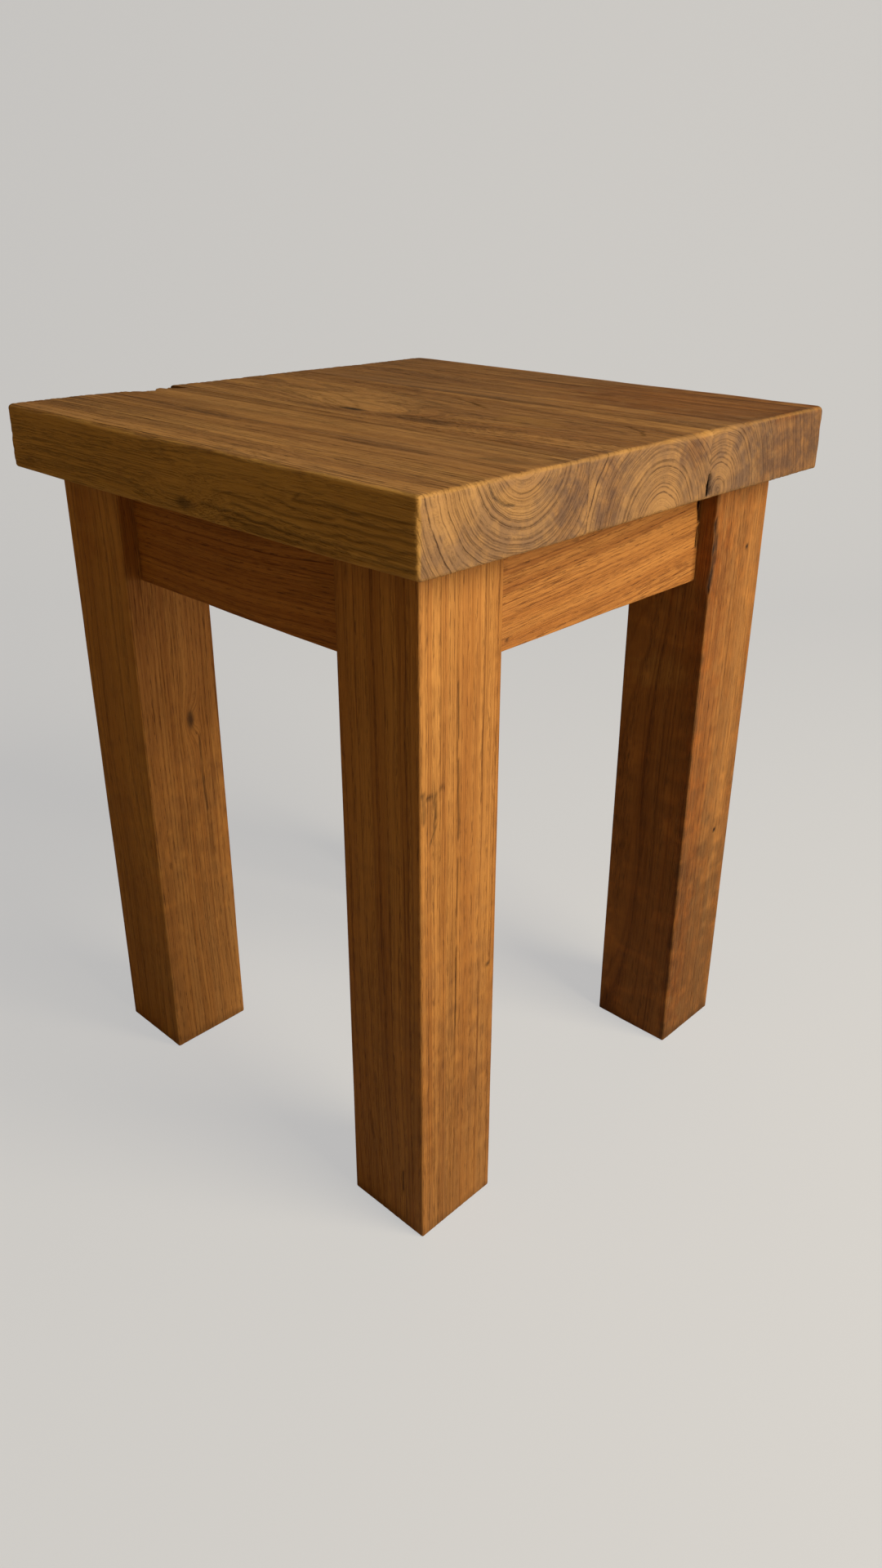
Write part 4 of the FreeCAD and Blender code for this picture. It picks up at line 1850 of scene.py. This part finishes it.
@dataclass
class Fixings:
    """Every screw and dowel in the stool, at the places where the corners and the seat joints need them.

    Everywhere on a block's slope, the distances from the frame's two outer faces add up to slope_sum. A screw
    is driven from_tip away from the block's tip, with its head sunk head_depth below the slope. block_screw,
    seat_screw and dowel are each a diameter and a length.
    """

    frame_half: float = 155.0
    seat_bottom: float = 412.0
    block_height: float = 32.0
    block_end: float = 109.0
    slope_sum: float = 153.0
    from_tip: float = 14.0
    head_depth: float = 6.0
    seat_screw_in: float = 67.75
    dowel_level: float = 431.0
    dowel_spacing: float = 120.0
    joints: tuple[tuple[str, float], ...] = (("front", -59.0), ("rear", 50.0))
    block_screw: tuple[float, float] = (4.0, 30.0)
    seat_screw: tuple[float, float] = (4.5, 50.0)
    dowel: tuple[float, float] = (8.0, 40.0)

    def block_screw_places(self) -> list[tuple[Vector, Vector]]:
        """Gives the start and the direction of the eight screws through the blocks into the aprons.

        Returns:
            Each screw's start in metres, and the way it points.
        """
        along = self.block_end - self.from_tip
        head = self.slope_sum - along - self.head_depth
        level = self.seat_bottom - self.block_height / 2
        places = []
        for sign_x in (-1, 1):
            for sign_y in (-1, 1):
                near, far = self.frame_half - head, self.frame_half - along
                places.append((Vector((sign_x * near, sign_y * far, level)) * MM, Vector((sign_x, 0, 0))))
                places.append((Vector((sign_x * far, sign_y * near, level)) * MM, Vector((0, sign_y, 0))))
        return places

    def seat_screw_places(self) -> list[tuple[Vector, Vector]]:
        """Gives the start of the four screws that go up into the seat.

        Returns:
            Each screw's start in metres, and the way it points.
        """
        at = self.frame_half - self.seat_screw_in
        level = self.seat_bottom - self.block_height
        return [
            (Vector((sign_x * at, sign_y * at, level)) * MM, Vector((0, 0, 1)))
            for sign_x in (-1, 1)
            for sign_y in (-1, 1)
        ]

    def dowel_places(self, joint: float) -> list[tuple[Vector, Vector]]:
        """Gives the start of the dowels across one joint.

        Args:
            joint: The joint's place across the seat.

        Returns:
            Each dowel's start in metres, and the way it points.
        """
        first_y = joint - self.dowel[1] / 2
        return [
            (Vector((k * self.dowel_spacing, first_y, self.dowel_level)) * MM, Vector((0, 1, 0)))
            for k in (-1, 0, 1)
        ]

    def build(self, steel: Material, beech: Material) -> list[tuple[Piece, str, str]]:
        """Makes the screws and dowels.

        Args:
            steel: The screws' finish.
            beech: The dowels' finish.

        Returns:
            Each piece, the node that it stands for, and its material slot.
        """
        screws = WoodScrews()
        screw_tree = screws.screw_tree()
        made = []
        for where, (diameter, length), places in (
            ("block", self.block_screw, self.block_screw_places()),
            ("seat", self.seat_screw, self.seat_screw_places()),
        ):
            sizes = {"Diameter": diameter * MM, "Length": length * MM}
            piece = screws.set_at(f"{where}_wood_screws", screw_tree, sizes, places, steel)
            made.append((piece, f"{where}_screws", "screw_steel"))
        dowels = Dowels()
        dowel_tree = dowels.dowel_tree()
        diameter, length = self.dowel
        sizes = {"Diameter": diameter * MM, "Length": length * MM, "Flute Depth": dowels.flute_depth * MM}
        for name, joint in self.joints:
            piece = dowels.set_at(f"fluted_dowels_{name}", dowel_tree, sizes, self.dowel_places(joint), beech)
            made.append((piece, f"seat_dowels_{name}", "dowel_beech"))
        return made


# ---- the studio ---------------------------------------------------------------------------------------


@dataclass
class Studio:
    """A plain pale floor that curves up into a backdrop, soft lamps, and the camera.

    Its sizes and places are in metres, its angles in degrees, its sensor and lens in millimetres, and its
    colours sRGB hex. lamps gives each lamp's name, place, side, power in watts and tint.
    """

    ground: str = "b1a995"
    glow: str = "f0f1f2"
    glow_share: float = 0.55
    floor_front: float = -3.0
    floor_back: float = 1.0
    bend: float = 0.8
    bend_steps: int = 16
    backdrop_top: float = 3.6
    half_width: float = 4.5
    lamps: tuple[tuple[str, Place, float, float, str], ...] = (
        ("window_lamp", (1.62, 0.28, 1.45), 1.1, 45.0, "fdfbfa"),
        ("low_window_lamp", (1.75, 0.6, 0.4), 0.8, 11.0, "fff6ea"),
        ("front_fill", (-0.6, -2.2, 1.4), 1.6, 2.3, "ffd76c"),
    )
    aim: Place = (0.0, 0.0, 0.25)
    room_tint: str = "ffd088"
    room_strength: float = 0.12
    air_strength: float = 0.7
    camera_place: Place = (0.513252, -0.510642, 0.556827)
    azimuth: float = 43.368
    elevation: float = 25.081
    roll: float = 0.435
    sensor: float = 36.0
    nearest: float = 0.01
    lens: float = 26.634
    shift: tuple[float, float] = (-0.00794, -0.02038)

    def sweep(self) -> Piece:
        """Makes the floor and the backdrop behind the stool as one curved sheet.

        Returns:
            The sheet.
        """
        profile = [(self.floor_front, 0.0), (self.floor_back, 0.0)]
        for k in range(1, self.bend_steps + 1):
            turn = math.pi / 2 * k / self.bend_steps
            rise = self.bend * (1 - math.cos(turn))
            profile.append((self.floor_back + self.bend * math.sin(turn), rise))
        profile.append((self.floor_back + self.bend, self.backdrop_top))
        away = math.radians(self.azimuth)
        back = Vector((-math.sin(away), math.cos(away), 0))
        side = Vector((math.cos(away), math.sin(away), 0))
        points = []
        for distance, height in profile:
            for edge in (-self.half_width, self.half_width):
                points.append(tuple(back * distance + side * edge + Vector((0, 0, height))))
        faces = [(2 * k, 2 * k + 1, 2 * k + 3, 2 * k + 2) for k in range(len(profile) - 1)]
        mesh = bpy.data.meshes.new("studio_sweep")
        mesh.from_pydata(points, [], faces)
        mesh.polygons.foreach_set("use_smooth", [True] * len(faces))
        mesh.materials.append(self.paper())
        sheet = bpy.data.objects.new("studio_sweep", mesh)
        bpy.context.scene.collection.objects.link(sheet)
        return sheet

    def paper(self) -> Material:
        """Makes the sweep's matt paper: pale, lifted where the camera sees it, and clear from below.

        Returns:
            The material.
        """
        made = bpy.data.materials.new("studio_paper")
        made.use_nodes = True
        tree = made.node_tree
        tree.nodes.clear()
        matt = add_node(tree, "ShaderNodeBsdfDiffuse", {"Color": colour(self.ground)})
        glow = add_node(tree, "ShaderNodeEmission", {"Color": colour(self.glow)})
        path = add_node(tree, "ShaderNodeLightPath")
        sockets = {0: path.outputs["Is Camera Ray"], 1: self.glow_share}
        seen = add_node(tree, MATH, sockets, operation="MULTIPLY")
        both = add_node(tree, MIX_SHADER, {0: seen, 1: matt, 2: glow})
        from_below = add_node(tree, "ShaderNodeNewGeometry").outputs["Backfacing"]
        clear = add_node(tree, "ShaderNodeBsdfTransparent")
        sheet = add_node(tree, MIX_SHADER, {0: from_below, 1: both, 2: clear})
        add_node(tree, "ShaderNodeOutputMaterial", {"Surface": sheet})
        return made

    def lamp(self, name: str, place: Place, size: float, power: float, tint: str) -> Piece:
        """Adds one square soft lamp that faces the stool.

        Args:
            name: The lamp's name.
            place: Where it stands, in metres.
            size: Its side, in metres.
            power: Its power, in watts.
            tint: Its colour, as sRGB hex.

        Returns:
            The lamp.
        """
        data = bpy.data.lights.new(name, "AREA")
        data.shape = "SQUARE"
        data.size = size
        data.energy = power
        data.color = colour(tint)[:3]
        lamp = bpy.data.objects.new(name, data)
        lamp.location = place
        aim = Vector(self.aim) - Vector(place)
        lamp.rotation_euler = aim.to_track_quat("-Z", "Y").to_euler()
        bpy.context.scene.collection.objects.link(lamp)
        return lamp

    def camera(self) -> Piece:
        """Sets the camera where the stool shows its front and right sides and its top.

        Returns:
            The camera.
        """
        turn, tilt, roll = (math.radians(v) for v in (self.azimuth, self.elevation, self.roll))
        back = Vector((math.sin(turn) * math.cos(tilt), -math.cos(turn) * math.cos(tilt), math.sin(tilt)))
        right = Vector((math.cos(turn), math.sin(turn), 0))
        up = back.cross(right)
        rolled_right = right * math.cos(roll) + up * math.sin(roll)
        rolled_up = up * math.cos(roll) - right * math.sin(roll)
        data = bpy.data.cameras.new("stool_camera")
        data.sensor_width = self.sensor
        data.lens = self.lens
        data.shift_x, data.shift_y = self.shift
        data.clip_start = self.nearest
        camera = bpy.data.objects.new("stool_camera", data)
        axes = Matrix((rolled_right, rolled_up, back)).transposed().to_4x4()
        camera.matrix_world = Matrix.Translation(self.camera_place) @ axes
        bpy.context.scene.collection.objects.link(camera)
        bpy.context.scene.camera = camera
        return camera

    def world(self) -> None:
        """Lights the stool softly from all round, with pale air wherever the camera looks past the paper."""
        world = bpy.data.worlds.new("soft_room")
        world.use_nodes = True
        world.node_tree.nodes.clear()
        node = partial(add_node, world.node_tree)
        sky, air = (
            node("ShaderNodeBackground", {"Color": colour(tint), "Strength": strength})
            for tint, strength in ((self.room_tint, self.room_strength), (self.glow, self.air_strength))
        )
        seen = node("ShaderNodeLightPath").outputs["Is Camera Ray"]
        both = node(MIX_SHADER, {0: seen, 1: sky, 2: air})
        node("ShaderNodeOutputWorld", {"Surface": both})
        bpy.context.scene.world = world

    def build(self) -> None:
        """Sets up the whole studio."""
        self.sweep()
        for lamp in self.lamps:
            self.lamp(*lamp)
        self.world()
        self.camera()
        bpy.context.scene.view_settings.view_transform = "Standard"


# ---- putting it together ------------------------------------------------------------------------------


def adopt(piece: Piece, node: str) -> None:
    """Makes a piece ride on the stool and stand for its node.

    Args:
        piece: The piece.
        node: The name of the node that it stands for.
    """
    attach(piece, ROOT)
    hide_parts(node)
    LOG.info("%s stands for %s", piece.name, node)


def main() -> None:
    """Builds every part of the stool and its studio."""
    logging.basicConfig(level=logging.INFO, format="%(name)s: %(message)s")
    seat_teak = SEAT_TEAK.material()
    frame_teak = FRAME_TEAK.material()
    for piece, node in Seat().build(seat_teak):
        adopt(piece, node)
    for piece, node in Legs().build(frame_teak) + Aprons().build(frame_teak):
        adopt(piece, node)
    CornerBlocks().dress(SAWN_TEAK.material())
    for piece, node, slot in Fixings().build(SteelFinish().material(), TURNED_BEECH.material()):
        adopt(piece, node)
    Studio().build()


if __name__ == "__main__":
    main()
